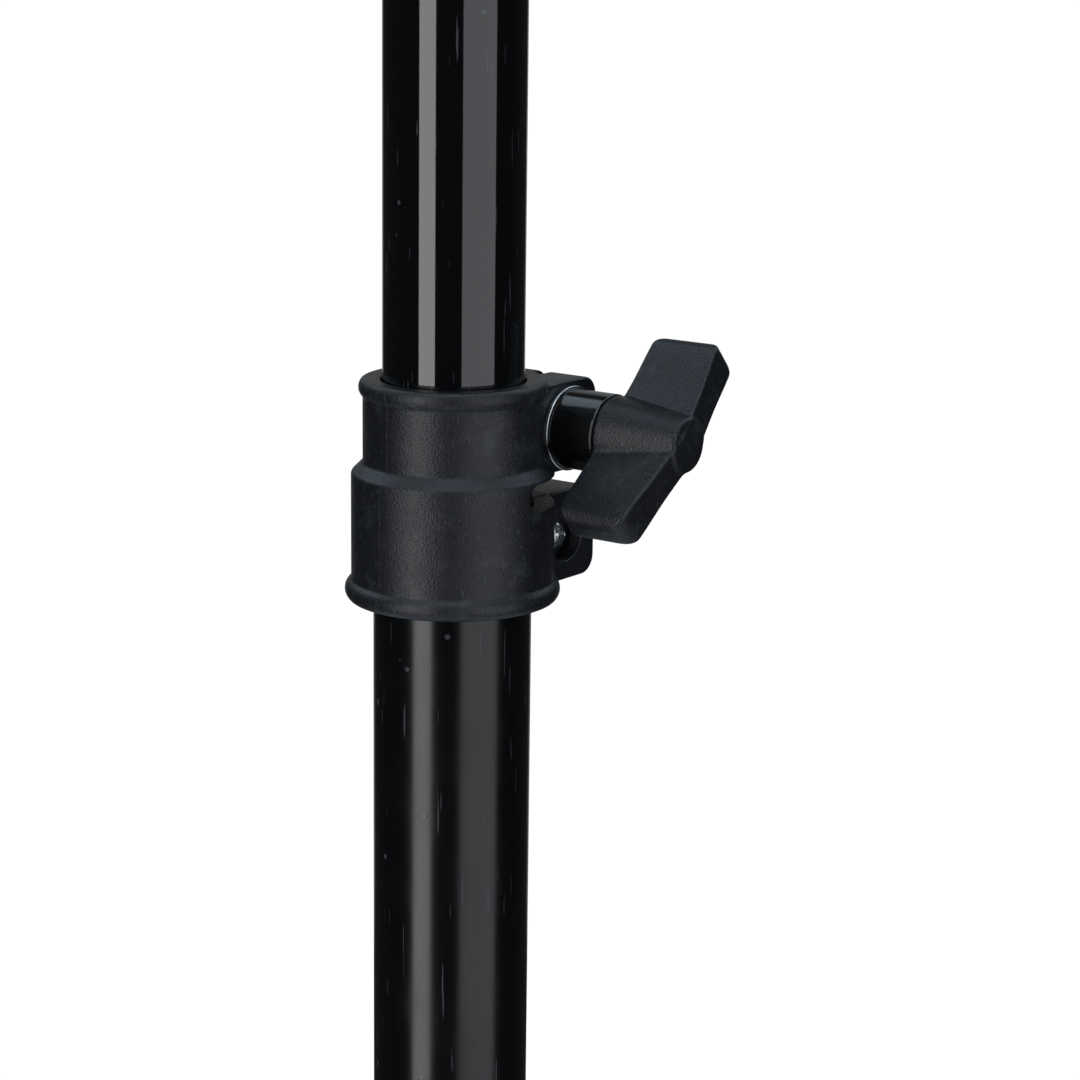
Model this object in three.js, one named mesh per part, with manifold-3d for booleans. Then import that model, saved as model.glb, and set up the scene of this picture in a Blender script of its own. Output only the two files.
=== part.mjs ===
// A folding music stand: a sheet-steel desk on a tilt head, a two-tube telescoping mast held by a moulded
// clamp collar with a wing knob, and a three-leg base that folds like an umbrella.
// Millimetres, +Z up. The music faces -Y, and every knob that clamps the mast or the desk points along +X.
import * as THREE from 'three';
import { mergeVertices } from 'three/addons/utils/BufferGeometryUtils.js';
import Module from 'manifold-3d';

const wasm = await Module();
wasm.setup();

// ---------------------------------------------------------------- driving dimensions

const GAP = 0.3;              // clearance left between pieces that touch
const ROUND = 32;             // facets round a tube or ring
const SMALL_ROUND = 12;       // facets round a bolt, pin or screw
const WASHER_ROUND = 24;      // facets round a washer, sleeve, boss or knob hub

const LOWER_TUBE = { outer: 14.3, inner: 13.1, bottom: 28.3, top: 622.2 };
const UPPER_TUBE = { outer: 12.7, inner: 11.5, bottom: 384.3, top: 940 };

const COLLAR_BOTTOM = 600;    // height of the collar's lower edge above the floor
const COLLAR = {
  height: 40.2,
  lowerRadius: 18.3, upperRadius: 16.2,
  shoulderBottom: 23.2, shoulderTop: 25.3, step: 22.7,
  lowerBead: { bulge: 1.15, height: 3.8 },
  upperBead: { bulge: 0.75, height: 3.2 },
  slot: 2.6,
};
const LUG = {
  halfWidth: 9.8, reach: 30.2, corner: 3.5,
  upper: [21.4, 37.9], lower: [0.7, 17.7],
};
const CLAMP_BOLT = { offset: 21.5, height: 29.2 };    // bolt axis: distance behind the mast, height in collar
const COLLAR_SCREW = { offset: 21.5, height: 8.7, headRadius: 3.5, recessRadius: 4.4, recessDepth: 3.8 };
const PARTING = { front: -1.1, bottom: 17.8, top: 22.9, round: 2.5 };   // slot between the two clamp rings

const BOLT_RADIUS = 3;        // M6
const SCREW_RADIUS = 2;       // M4
const NUT = { acrossFlats: 10, thickness: 5 };
const SMALL_NUT = { acrossFlats: 7, thickness: 3.2 };
const WASHER = { radius: 7.8, thickness: 1.3 };
const SLEEVE = { radius: 7, length: 8 };
const WING_KNOB = {
  hubBase: 7.2, hubEnd: 4.9, hubLength: 16.3,
  reach: 21.6, tipWidth: 14, thickness: 6.2, corner: 2, boltDepth: 11,
};
const CLAMP_WING_ANGLE = 42.5;                        // wings' slope above the lugs' direction, degrees

const LEG_AZIMUTHS = [-90, 30, 150];                  // degrees, one leg to the front
const PIVOT_RADIUS = 30;      // crown and hub pivots, from the mast axis
const SPREAD = THREE.MathUtils.degToRad(58);          // legs and struts, from the vertical, when open
const STRUT_LENGTH = 130;     // pivot to pivot, and leg top pivot to strut pivot
const LEG = { length: 320, width: 12, depth: 18, wall: 1.2, endHeight: 14 };
const STRUT = { halfDepth: 8, innerHalfWidth: 6.3, sheet: 1.5, webEnd: 24 };
const CROWN_PIVOT_Z = LEG.endHeight + LEG.length * Math.cos(SPREAD);
const HUB_PIVOT_Z = CROWN_PIVOT_Z - 2 * STRUT_LENGTH * Math.cos(SPREAD);
const RING_RADIUS = 19.5;     // crown and hub bodies
const CROWN = { below: 25, above: 22, lugThickness: 3, lugRound: 9, bossRadius: 8, bossEnd: 27, bossRise: 1 };
const HUB = { bottom: 25, floor: 3, top: 64, lugRound: 7.5, screwHeight: 36 };
const PIN = { radius: 2.5, headRadius: 4.5, head: 1.5 };
const FOOT = { wall: 2, sole: 20, overlap: 24, cap: 3.5 };

const TILT_PIVOT_Z = 972;
const TILT_REST = THREE.MathUtils.degToRad(20);       // desk's lean back from the vertical at rest
const TILT_HEAD = { spigotBottom: 905, flangeTop: 945, halfThickness: 8, round: 13, neck: 11, rivetZ: 922 };
const FRICTION_WASHER = { radius: 10, thickness: 1.2 };
const EAR = { inner: 9.8, outer: 12.3, round: 13, halfHeight: 24 };
const BRACKET = { halfWidth: 30, halfHeight: 32, sheet: 2.5, screwX: 21, screwZ: 24 };
const DESK = {
  width: 508, top: 181.5, bottom: -148.5, front: -35.2, back: -34, rim: 8, corner: 18, sheet: 1.2,
};
const LEDGE = { bottom: -150, lipHeight: 16, front: -94, flange: 20, screwX: [-180, 0, 180], screwZ: -140 };
const SCREW_HEAD = { radius: 4, height: 1.8 };

// ---------------------------------------------------------------- materials

const material = (color, roughness, metalness) =>
  new THREE.MeshStandardMaterial({ color, roughness, metalness, flatShading: true });

const GLOSS_PAINT = material(0x08090a, 0.12, 0.0);
const SATIN_PAINT = material(0x0b0c0d, 0.32, 0.0);
const DESK_PAINT = material(0x101112, 0.55, 0.0);
const MOULDED_PLASTIC = material(0x15181b, 0.5, 0.0);
const GLOSS_PLASTIC = material(0x090a0b, 0.1, 0.0);
const NYLON = material(0x1b1b1b, 0.6, 0.0);
const ZINC_STEEL = material(0xb9bcc0, 0.3, 1.0);
const BLACK_STEEL = material(0x1d1e20, 0.45, 0.6);
const RUBBER = material(0x0d0d0d, 0.85, 0.0);

// ---------------------------------------------------------------- solids

// A closed manifold solid from any closed three.js geometry.
function toSolid(geometry) {
  const bare = new THREE.BufferGeometry();
  bare.setAttribute('position', geometry.attributes.position.clone());
  if (geometry.index) bare.setIndex(geometry.index.clone());
  const merged = mergeVertices(bare, 1e-4);
  const vertices = merged.attributes.position.array;
  const triangles = [];
  let volume = 0;
  const corner = (i) => new THREE.Vector3().fromArray(vertices, 3 * i);
  for (let i = 0; i < merged.index.count; i += 3) {
    const [a, b, c] = [0, 1, 2].map((k) => merged.index.getX(i + k));
    if (a === b || b === c || c === a) continue;
    triangles.push([a, b, c]);
    volume += corner(a).dot(corner(b).cross(corner(c)));
  }
  const facing = volume < 0 ? ([a, b, c]) => [a, c, b] : (triangle) => triangle;
  return new wasm.Manifold(new wasm.Mesh({
    numProp: 3,
    vertProperties: Float32Array.from(vertices),
    triVerts: Uint32Array.from(triangles.map(facing).flat()),
  }));
}

function toGeometry(solid) {
  const mesh = solid.getMesh();
  const geometry = new THREE.BufferGeometry();
  geometry.setAttribute('position', new THREE.Float32BufferAttribute(mesh.vertProperties, 3));
  geometry.setIndex(new THREE.Uint32BufferAttribute(mesh.triVerts, 1));
  return geometry;
}

const join = (...pieces) => toGeometry(pieces.map(toSolid).reduce((whole, piece) => whole.add(piece)));
const cut = (body, ...tools) =>
  toGeometry(tools.map(toSolid).reduce((whole, tool) => whole.subtract(tool), toSolid(body)));
const common = (a, b) => toGeometry(toSolid(a).intersect(toSolid(b)));

// A profile of [radius, z] points turned about the Z axis. It starts and ends on the axis, or closes.
const turned = (profile, sides) =>
  new THREE.LatheGeometry(profile.map(([r, z]) => new THREE.Vector2(r, z)), sides).rotateX(Math.PI / 2);
const rod = (radius, z0, z1, sides = SMALL_ROUND) =>
  turned([[0, z0], [radius, z0], [radius, z1], [0, z1]], sides);
const tube = (outer, inner, z0, z1, sides = ROUND) =>
  turned([[inner, z0], [outer, z0], [outer, z1], [inner, z1], [inner, z0]], sides);
const block = (x0, x1, y0, y1, z0, z1) =>
  new THREE.BoxGeometry(x1 - x0, y1 - y0, z1 - z0).translate((x0 + x1) / 2, (y0 + y1) / 2, (z0 + z1) / 2);

// Points round an ellipse's arc, as [radius, z].
function arc(centre, radii, from, to, steps) {
  return Array.from({ length: steps + 1 }, (_, i) => {
    const angle = THREE.MathUtils.degToRad(from + (to - from) * i / steps);
    return [centre[0] + radii[0] * Math.cos(angle), centre[1] + radii[1] * Math.sin(angle)];
  });
}

// A rectangle with four corner radii, in the order bottom right, top right, top left, bottom left.
function roundedRectangle(x0, x1, y0, y1, corners) {
  const [br, tr, tl, bl] = corners;
  const shape = new THREE.Shape();
  shape.moveTo(x0 + bl, y0).lineTo(x1 - br, y0);
  if (br) shape.absarc(x1 - br, y0 + br, br, -Math.PI / 2, 0);
  shape.lineTo(x1, y1 - tr);
  if (tr) shape.absarc(x1 - tr, y1 - tr, tr, 0, Math.PI / 2);
  shape.lineTo(x0 + tl, y1);
  if (tl) shape.absarc(x0 + tl, y1 - tl, tl, Math.PI / 2, Math.PI);
  shape.lineTo(x0, y0 + bl);
  if (bl) shape.absarc(x0 + bl, y0 + bl, bl, Math.PI, 1.5 * Math.PI);
  return shape;
}

// An outline drawn as (across, up), made into a plate that is `thickness` thick about its own middle.
const extruded = (shape, thickness, curveSegments = 3) =>
  new THREE.ExtrudeGeometry(shape, { depth: thickness, bevelEnabled: false, curveSegments })
    .translate(0, 0, -thickness / 2);
// The same plate with across along X and up along Z, so it is thick along Y ...
const plateXZ = (shape, thickness, curveSegments) =>
  extruded(shape, thickness, curveSegments).rotateX(Math.PI / 2);
// ... and with across along Y and up along Z, so it is thick along X.
const plateYZ = (shape, thickness, curveSegments) =>
  plateXZ(shape, thickness, curveSegments).rotateZ(Math.PI / 2);

const alongX = (geometry) => geometry.rotateY(Math.PI / 2);
const alongY = (geometry) => geometry.rotateX(-Math.PI / 2);
const degrees = (angle) => THREE.MathUtils.degToRad(angle);

function add(group, name, geometry, finish) {
  const mesh = new THREE.Mesh(toGeometry(toSolid(geometry)), finish);
  mesh.name = name;
  group.add(mesh);
  return mesh;
}

// ---------------------------------------------------------------- fasteners, built about +Z

const hexagon = (acrossFlats, z0, z1) =>
  turned([[0, z0], [acrossFlats / Math.sqrt(3), z0], [acrossFlats / Math.sqrt(3), z1], [0, z1]], 6);
const nut = ({ acrossFlats, thickness }, hole) =>
  cut(hexagon(acrossFlats, 0, thickness), rod(hole, -1, thickness + 1));
const washer = (radius, hole, thickness) => tube(radius, hole, 0, thickness, WASHER_ROUND);

// A pin with a formed head at both ends, for pieces `grip` wide across its middle.
function rivet(grip, { radius, headRadius, head } = PIN) {
  const seat = grip / 2 + GAP;
  const crest = seat + head;
  const edge = headRadius * 0.7;
  return turned([
    [0, -crest], [edge, -crest], [headRadius, -seat], [radius, -seat],
    [radius, seat], [headRadius, seat], [edge, crest], [0, crest],
  ], SMALL_ROUND);
}

// A screw whose domed head sits on z = 0 and whose shank runs down to -length.
function domedScrew(length, headRadius = SCREW_HEAD.radius, headHeight = SCREW_HEAD.height) {
  return turned([
    [0, -length], [SCREW_RADIUS, -length], [SCREW_RADIUS, 0], [headRadius, 0],
    [headRadius * 0.75, headHeight * 0.85], [0, headHeight],
  ], SMALL_ROUND);
}

// The wing knob: a tapered hub with two flat wings along X, its inner face on z = 0.
function wingKnob() {
  const { hubBase, hubEnd, hubLength, reach, tipWidth, thickness, corner, boltDepth } = WING_KNOB;
  const hub = turned([
    [0, 0], [hubBase, 0], [hubEnd, hubLength - 0.5], [hubEnd - 0.6, hubLength], [0, hubLength + 0.3],
  ], WASHER_ROUND);
  const wings = new THREE.Shape();
  wings.moveTo(-reach + corner, 0).lineTo(reach - corner, 0);
  wings.absarc(reach - corner, corner, corner, -Math.PI / 2, 0);
  wings.absarc(reach - corner, tipWidth - corner, corner, 0, Math.PI / 2);
  wings.lineTo(hubEnd, hubLength - 0.5).lineTo(-hubEnd, hubLength - 0.5);
  wings.absarc(-reach + corner, tipWidth - corner, corner, Math.PI / 2, Math.PI);
  wings.absarc(-reach + corner, corner, corner, Math.PI, 1.5 * Math.PI);
  const bore = rod(BOLT_RADIUS + GAP, -1, boltDepth + GAP);
  return cut(join(hub, plateXZ(wings, thickness, 4)), bore);
}

// ---------------------------------------------------------------- mast and clamp collar

const lugPlate = ([bottom, top]) =>
  plateYZ(roundedRectangle(8, LUG.reach, bottom, top, [LUG.corner, LUG.corner, 0, 0]), 2 * LUG.halfWidth);

function collarGeometry() {
  const { height, lowerRadius, upperRadius, lowerBead, upperBead } = COLLAR;
  const beadArc = (radius, middle, bead) => arc([radius, middle], [bead.bulge, bead.height / 2], -90, 90, 4);
  const lowerBeadArc = beadArc(lowerRadius, lowerBead.height / 2, lowerBead);
  const upperBeadArc = beadArc(upperRadius, height - upperBead.height / 2, upperBead);
  const outside = turned([
    [0, 0], ...lowerBeadArc, [lowerRadius, COLLAR.shoulderBottom], [upperRadius, COLLAR.shoulderTop],
    ...upperBeadArc, [0, height],
  ], ROUND);
  const pocket = (size, floor) => alongX(hexagon(size.acrossFlats + 2 * GAP, -20, floor));
  const atBolt = (geometry) => geometry.translate(0, CLAMP_BOLT.offset, CLAMP_BOLT.height);
  const atScrew = (geometry) => geometry.translate(0, COLLAR_SCREW.offset, COLLAR_SCREW.height);
  const recessFloor = LUG.halfWidth - COLLAR_SCREW.recessDepth;
  const parting = plateYZ(roundedRectangle(PARTING.front, 30, PARTING.bottom, PARTING.top,
    [0, 0, PARTING.round, PARTING.round]), 60);
  return cut(
    join(cut(outside, parting), lugPlate(LUG.upper), lugPlate(LUG.lower)),
    rod(LOWER_TUBE.outer + GAP, -5, COLLAR.step, ROUND),
    rod(UPPER_TUBE.outer + GAP, -5, height + 5, ROUND),
    block(-COLLAR.slot / 2, COLLAR.slot / 2, 0, 2 * LUG.reach, -5, height + 5),
    atBolt(alongX(rod(BOLT_RADIUS + GAP, -40, 40))),
    atBolt(pocket(NUT, -LUG.halfWidth + NUT.thickness - 0.4)),
    atScrew(alongX(rod(SCREW_RADIUS + GAP, -40, 40))),
    atScrew(alongX(rod(COLLAR_SCREW.recessRadius, recessFloor, 20))),
    atScrew(pocket(SMALL_NUT, -LUG.halfWidth + SMALL_NUT.thickness + GAP)),
  );
}

// The knob, its sleeve, washer, bolt and nut, about a bolt axis that points along the group's +Z.
function addClamp(group) {
  const bolt = new THREE.Group();
  bolt.rotation.y = Math.PI / 2;
  bolt.position.set(0, CLAMP_BOLT.offset, CLAMP_BOLT.height);
  group.add(bolt);
  const washerSeat = LUG.halfWidth + GAP;
  const sleeveSeat = washerSeat + WASHER.thickness + GAP;
  const knobSeat = sleeveSeat + SLEEVE.length + GAP;
  const hole = BOLT_RADIUS + GAP;
  const plain = washer(WASHER.radius, hole, WASHER.thickness);
  add(bolt, 'clamp_washer', plain, ZINC_STEEL).position.z = washerSeat;
  const sleeve = tube(SLEEVE.radius, hole, 0, SLEEVE.length, WASHER_ROUND);
  add(bolt, 'clamp_sleeve', sleeve, GLOSS_PLASTIC).position.z = sleeveSeat;
  const knob = add(bolt, 'clamp_knob', wingKnob(), MOULDED_PLASTIC);
  knob.position.z = knobSeat;
  knob.rotation.z = degrees(90 + CLAMP_WING_ANGLE);
  add(bolt, 'clamp_bolt', rod(BOLT_RADIUS, -LUG.halfWidth - 2.7, knobSeat + WING_KNOB.boltDepth), ZINC_STEEL);
  add(bolt, 'clamp_nut', nut(NUT, hole), ZINC_STEEL).position.z = -LUG.halfWidth - 0.7;
}

function addCollarScrew(group) {
  const screw = new THREE.Group();
  screw.rotation.y = Math.PI / 2;
  screw.position.set(0, COLLAR_SCREW.offset, COLLAR_SCREW.height);
  group.add(screw);
  const headSeat = LUG.halfWidth - COLLAR_SCREW.recessDepth + GAP;
  const shank = headSeat + LUG.halfWidth;
  const domed = domedScrew(shank, COLLAR_SCREW.headRadius, 2.4);
  add(screw, 'collar_screw', domed, ZINC_STEEL).position.z = headSeat;
  add(screw, 'collar_screw_nut', nut(SMALL_NUT, SCREW_RADIUS + GAP), ZINC_STEEL).position.z = -LUG.halfWidth;
}

// The bush in the bottom of the upper tube: it guides the tube in the lower one and lets it turn.
function guideBush() {
  const seat = UPPER_TUBE.bottom - GAP;
  const spigot = UPPER_TUBE.inner - GAP;
  return turned([
    [8, seat - 12], [12.6, seat - 12], [12.85, seat - 11], [12.85, seat], [spigot, seat], [spigot, seat + 26],
    [8, seat + 26], [8, seat - 12],
  ], ROUND);
}

function buildMast() {
  const mast = new THREE.Group();
  const { outer, inner, bottom, top } = LOWER_TUBE;
  const hubScrewHole = alongY(rod(SCREW_RADIUS + GAP, 0, 40)).translate(0, 0, HUB.screwHeight);
  add(mast, 'lower_tube', cut(tube(outer, inner, bottom, top), hubScrewHole), SATIN_PAINT);
  const rivetHole = alongX(rod(SCREW_RADIUS + GAP, -40, 40)).translate(0, 0, TILT_HEAD.rivetZ);
  add(mast, 'upper_tube', cut(tube(UPPER_TUBE.outer, UPPER_TUBE.inner, UPPER_TUBE.bottom, UPPER_TUBE.top),
    rivetHole), GLOSS_PAINT);
  add(mast, 'guide_bush', guideBush(), NYLON);
  const collar = new THREE.Group();
  collar.position.z = COLLAR_BOTTOM;
  mast.add(collar);
  add(collar, 'clamp_collar', collarGeometry(), MOULDED_PLASTIC);
  addClamp(collar);
  addCollarScrew(collar);
  return mast;
}

// ---------------------------------------------------------------- folding base

// A lug that reaches from the ring's wall to the pivot and ends in a half circle about it.
function pivotLug(round, thickness) {
  const shape = new THREE.Shape();
  shape.moveTo(15, -round).lineTo(PIVOT_RADIUS, -round);
  shape.absarc(PIVOT_RADIUS, 0, round, -Math.PI / 2, Math.PI / 2);
  shape.lineTo(15, round).lineTo(15, -round);
  return plateXZ(shape, thickness);
}
const pivotHole = () => alongY(rod(PIN.radius + GAP, -20, 20)).translate(PIVOT_RADIUS, 0, 0);

// The legs' ring: it slides on the lower tube, with a forked lug for each leg.
function crownGeometry() {
  const lugInner = LEG.width / 2 + GAP;
  const lugs = [];
  const holes = [];
  for (const azimuth of LEG_AZIMUTHS) {
    for (const side of [-1, 1]) {
      const middle = side * (lugInner + CROWN.lugThickness / 2);
      const lug = pivotLug(CROWN.lugRound, CROWN.lugThickness);
      lugs.push(lug.translate(0, middle, 0).rotateZ(degrees(azimuth)));
    }
    holes.push(pivotHole().rotateZ(degrees(azimuth)));
  }
  const boss = alongY(rod(CROWN.bossRadius, 10, CROWN.bossEnd, WASHER_ROUND)).translate(0, 0, CROWN.bossRise);
  const nutPocket = alongY(hexagon(NUT.acrossFlats + 2 * GAP, CROWN.bossEnd - NUT.thickness - GAP, 50));
  return cut(
    join(rod(RING_RADIUS, -CROWN.below, CROWN.above, ROUND), boss, ...lugs),
    rod(LOWER_TUBE.outer + GAP, -50, 50, ROUND),
    alongY(rod(BOLT_RADIUS + GAP, 5, 50)).translate(0, 0, CROWN.bossRise),
    nutPocket.translate(0, 0, CROWN.bossRise),
    ...holes,
  );
}

function buildCrown() {
  const crown = new THREE.Group();
  crown.position.z = CROWN_PIVOT_Z;
  add(crown, 'leg_crown', crownGeometry(), MOULDED_PLASTIC);
  const lock = new THREE.Group();
  lock.rotation.x = -Math.PI / 2;
  lock.position.z = CROWN.bossRise;
  crown.add(lock);
  const padStart = LOWER_TUBE.outer + GAP;
  const padLength = 2.4;
  const knobSeat = CROWN.bossEnd + 1.5;
  add(lock, 'crown_pad', rod(BOLT_RADIUS, padStart, padStart + padLength), NYLON);
  const bolt = rod(BOLT_RADIUS, padStart + padLength + GAP, knobSeat + WING_KNOB.boltDepth);
  add(lock, 'crown_bolt', bolt, ZINC_STEEL);
  add(lock, 'crown_nut', nut(NUT, BOLT_RADIUS + GAP), ZINC_STEEL).position.z = CROWN.bossEnd - NUT.thickness;
  add(lock, 'crown_knob', wingKnob(), MOULDED_PLASTIC).position.z = knobSeat;
  LEG_AZIMUTHS.forEach((azimuth, i) => {
    const spoke = new THREE.Group();
    spoke.rotation.z = degrees(azimuth);
    crown.add(spoke);
    const pin = alongY(rivet(LEG.width + 2 * GAP + 2 * CROWN.lugThickness));
    add(spoke, `crown_pin_${i + 1}`, pin, BLACK_STEEL).position.x = PIVOT_RADIUS;
  });
  return crown;
}

// The struts' ring, closed at the bottom, fixed on the end of the lower tube.
function hubGeometry() {
  const turn = (geometry, azimuth) => geometry.translate(0, 0, HUB_PIVOT_Z).rotateZ(degrees(azimuth));
  return cut(
    join(rod(RING_RADIUS, HUB.bottom, HUB.top, ROUND),
      ...LEG_AZIMUTHS.map((azimuth) => turn(pivotLug(HUB.lugRound, LEG.width), azimuth))),
    rod(LOWER_TUBE.outer + GAP, HUB.bottom + HUB.floor, HUB.top + 5, ROUND),
    alongY(rod(SCREW_RADIUS + GAP, 5, 40)).translate(0, 0, HUB.screwHeight),
    ...LEG_AZIMUTHS.map((azimuth) => turn(pivotHole(), azimuth)),
  );
}

// A leg along +Z from its top pivot: flat-oval tube, rounded about the pivot at the top.
function legGeometry() {
  const { length, width, depth, wall } = LEG;
  const section = (shrink) => {
    const halfDepth = depth / 2 - shrink;
    const halfWidth = width / 2 - shrink;
    return roundedRectangle(-halfDepth, halfDepth, -halfWidth, halfWidth, Array(4).fill(halfWidth - 0.01));
  };
  const full = extruded(section(0), length + depth).translate(0, 0, length / 2);
  const hollow = extruded(section(wall), length + 2 * depth).translate(0, 0, length / 2);
  const side = new THREE.Shape();
  side.absarc(0, 0, depth / 2, Math.PI, 2 * Math.PI).lineTo(depth / 2, length).lineTo(-depth / 2, length);
  const outline = plateXZ(side, width + 2, 6);
  const hole = (z) => alongY(rod(PIN.radius + GAP, -20, 20)).translate(0, 0, z);
  return cut(common(full, outline), hollow, hole(0), hole(STRUT_LENGTH));
}

// A strut along +Z from its hub pivot: a folded channel whose open side faces +X.
function strutGeometry() {
  const { halfDepth, innerHalfWidth, sheet, webEnd } = STRUT;
  const side = new THREE.Shape();
  side.absarc(0, 0, halfDepth, Math.PI, 2 * Math.PI).lineTo(halfDepth, STRUT_LENGTH);
  side.absarc(0, STRUT_LENGTH, halfDepth, 0, Math.PI).lineTo(-halfDepth, 0);
  const cheek = (y) => plateXZ(side, sheet, 6).translate(0, y, 0);
  const middle = innerHalfWidth + sheet / 2;
  const outerHalfWidth = innerHalfWidth + sheet;
  const web = block(-halfDepth, -halfDepth + sheet, -outerHalfWidth, outerHalfWidth,
    webEnd, STRUT_LENGTH - webEnd);
  const hole = (z) => alongY(rod(PIN.radius + GAP, -20, 20)).translate(0, 0, z);
  return cut(join(cheek(-middle), cheek(middle), web), hole(0), hole(STRUT_LENGTH));
}

// A rubber boot on the leg's end, in the leg's own axes, cut flat where it meets the floor.
function footGeometry() {
  const { wall, sole, overlap, cap } = FOOT;
  const halfWidth = LEG.width / 2 + GAP + wall;
  const halfDepth = LEG.depth / 2 + GAP + wall;
  const bottom = LEG.length + cap;
  const side = new THREE.Shape();
  side.moveTo(-halfDepth, LEG.length - overlap).lineTo(halfDepth, LEG.length - overlap);
  side.lineTo(sole, LEG.length - 3).lineTo(sole, bottom).lineTo(-halfDepth + 3, bottom);
  side.lineTo(-halfDepth, bottom - 3);
  const pocket = extruded(roundedRectangle(-LEG.depth / 2 - GAP, LEG.depth / 2 + GAP,
    -LEG.width / 2 - GAP, LEG.width / 2 + GAP, Array(4).fill(LEG.width / 2 + GAP - 0.01)), overlap + 10)
    .translate(0, 0, LEG.length + GAP - (overlap + 10) / 2);
  const belowFloor = block(0, 2 * LEG.length, -50, 50, -50, 0)
    .translate(-PIVOT_RADIUS, 0, -CROWN_PIVOT_Z).rotateY(SPREAD - Math.PI);
  return cut(plateXZ(side, 2 * halfWidth), pocket, belowFloor);
}

function buildBase() {
  const base = new THREE.Group();
  add(base, 'leg_hub', hubGeometry(), MOULDED_PLASTIC);
  const hubScrew = alongY(domedScrew(8)).translate(0, RING_RADIUS + GAP, HUB.screwHeight);
  add(base, 'hub_screw', hubScrew, ZINC_STEEL);
  LEG_AZIMUTHS.forEach((azimuth, i) => {
    const spoke = new THREE.Group();
    spoke.rotation.z = degrees(azimuth);
    base.add(spoke);
    const strutGrip = 2 * (STRUT.innerHalfWidth + STRUT.sheet);
    const strut = add(spoke, `strut_${i + 1}`, strutGeometry(), SATIN_PAINT);
    strut.position.set(PIVOT_RADIUS, 0, HUB_PIVOT_Z);
    strut.rotation.y = SPREAD;
    const legAxes = new THREE.Group();
    legAxes.position.set(PIVOT_RADIUS, 0, CROWN_PIVOT_Z);
    legAxes.rotation.y = Math.PI - SPREAD;
    spoke.add(legAxes);
    add(legAxes, `leg_${i + 1}`, legGeometry(), SATIN_PAINT);
    add(legAxes, `foot_${i + 1}`, footGeometry(), RUBBER);
    const hubPin = add(spoke, `hub_pin_${i + 1}`, alongY(rivet(strutGrip)), BLACK_STEEL);
    hubPin.position.set(PIVOT_RADIUS, 0, HUB_PIVOT_Z);
    add(legAxes, `strut_pin_${i + 1}`, alongY(rivet(strutGrip)), BLACK_STEEL).position.z = STRUT_LENGTH;
  });
  return base;
}

// ---------------------------------------------------------------- tilt head and desk

function tiltHeadGeometry() {
  const { spigotBottom, flangeTop, halfThickness, round, neck, rivetZ } = TILT_HEAD;
  const plug = turned([
    [0, spigotBottom], [UPPER_TUBE.inner - GAP, spigotBottom], [UPPER_TUBE.inner - GAP, UPPER_TUBE.top + GAP],
    [UPPER_TUBE.outer, UPPER_TUBE.top + GAP], [UPPER_TUBE.outer, flangeTop], [0, flangeTop],
  ], ROUND);
  const tongue = new THREE.Shape();
  tongue.moveTo(-neck, flangeTop - 1).lineTo(neck, flangeTop - 1).lineTo(round, TILT_PIVOT_Z);
  tongue.absarc(0, TILT_PIVOT_Z, round, 0, Math.PI).lineTo(-neck, flangeTop - 1);
  const acrossHole = (radius, z) => alongX(rod(radius, -40, 40)).translate(0, 0, z);
  return cut(join(plug, plateYZ(tongue, 2 * halfThickness, 6)),
    acrossHole(BOLT_RADIUS + GAP, TILT_PIVOT_Z), acrossHole(SCREW_RADIUS + GAP, rivetZ));
}

// The desk's pieces are drawn upright about the tilt pivot, and the whole desk then leans back.
function bracketGeometry() {
  const face = DESK.back + GAP;
  const { halfWidth, halfHeight, sheet, screwX, screwZ } = BRACKET;
  const outline = roundedRectangle(-halfWidth, halfWidth, -halfHeight, halfHeight, [6, 6, 6, 6]);
  const plate = plateXZ(outline, sheet, 4).translate(0, face + sheet / 2, 0);
  const side = new THREE.Shape();
  side.moveTo(face + 1, -EAR.halfHeight).lineTo(face + 6, -EAR.halfHeight).lineTo(0, -EAR.round);
  side.absarc(0, 0, EAR.round, -Math.PI / 2, Math.PI / 2);
  side.lineTo(face + 6, EAR.halfHeight).lineTo(face + 1, EAR.halfHeight);
  const middle = (EAR.inner + EAR.outer) / 2;
  const ear = (x) => plateYZ(side, EAR.outer - EAR.inner, 6).translate(x, 0, 0);
  const screwHoles = screwPlaces(screwX, screwZ).map(([x, z]) =>
    alongY(rod(SCREW_RADIUS + GAP, -60, -25)).translate(x, 0, z));
  return cut(join(plate, ear(-middle), ear(middle)), alongX(rod(BOLT_RADIUS + GAP, -40, 40)), ...screwHoles);
}

const screwPlaces = (x, z) => [[-x, -z], [x, -z], [x, z], [-x, z]];

function panelGeometry() {
  const { width, top, bottom, front, back, rim, corner, sheet } = DESK;
  const half = width / 2;
  const outline = (shrink) => roundedRectangle(-half + shrink, half - shrink, bottom - shrink, top - shrink,
    [0, corner - shrink, corner - shrink, 0]);
  const tray = plateXZ(outline(0), sheet + rim, 5).translate(0, (front + back + rim) / 2, 0);
  const hollow = plateXZ(outline(sheet), rim + 5, 5).translate(0, back + (rim + 5) / 2, 0);
  const ledgeScrews = LEDGE.screwX.map((x) => [x, LEDGE.screwZ]);
  const places = [...screwPlaces(BRACKET.screwX, BRACKET.screwZ), ...ledgeScrews];
  const holes = places.map(([x, z]) => alongY(rod(SCREW_RADIUS + GAP, -60, -25)).translate(x, 0, z));
  return cut(tray, hollow, ...holes);
}

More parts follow.
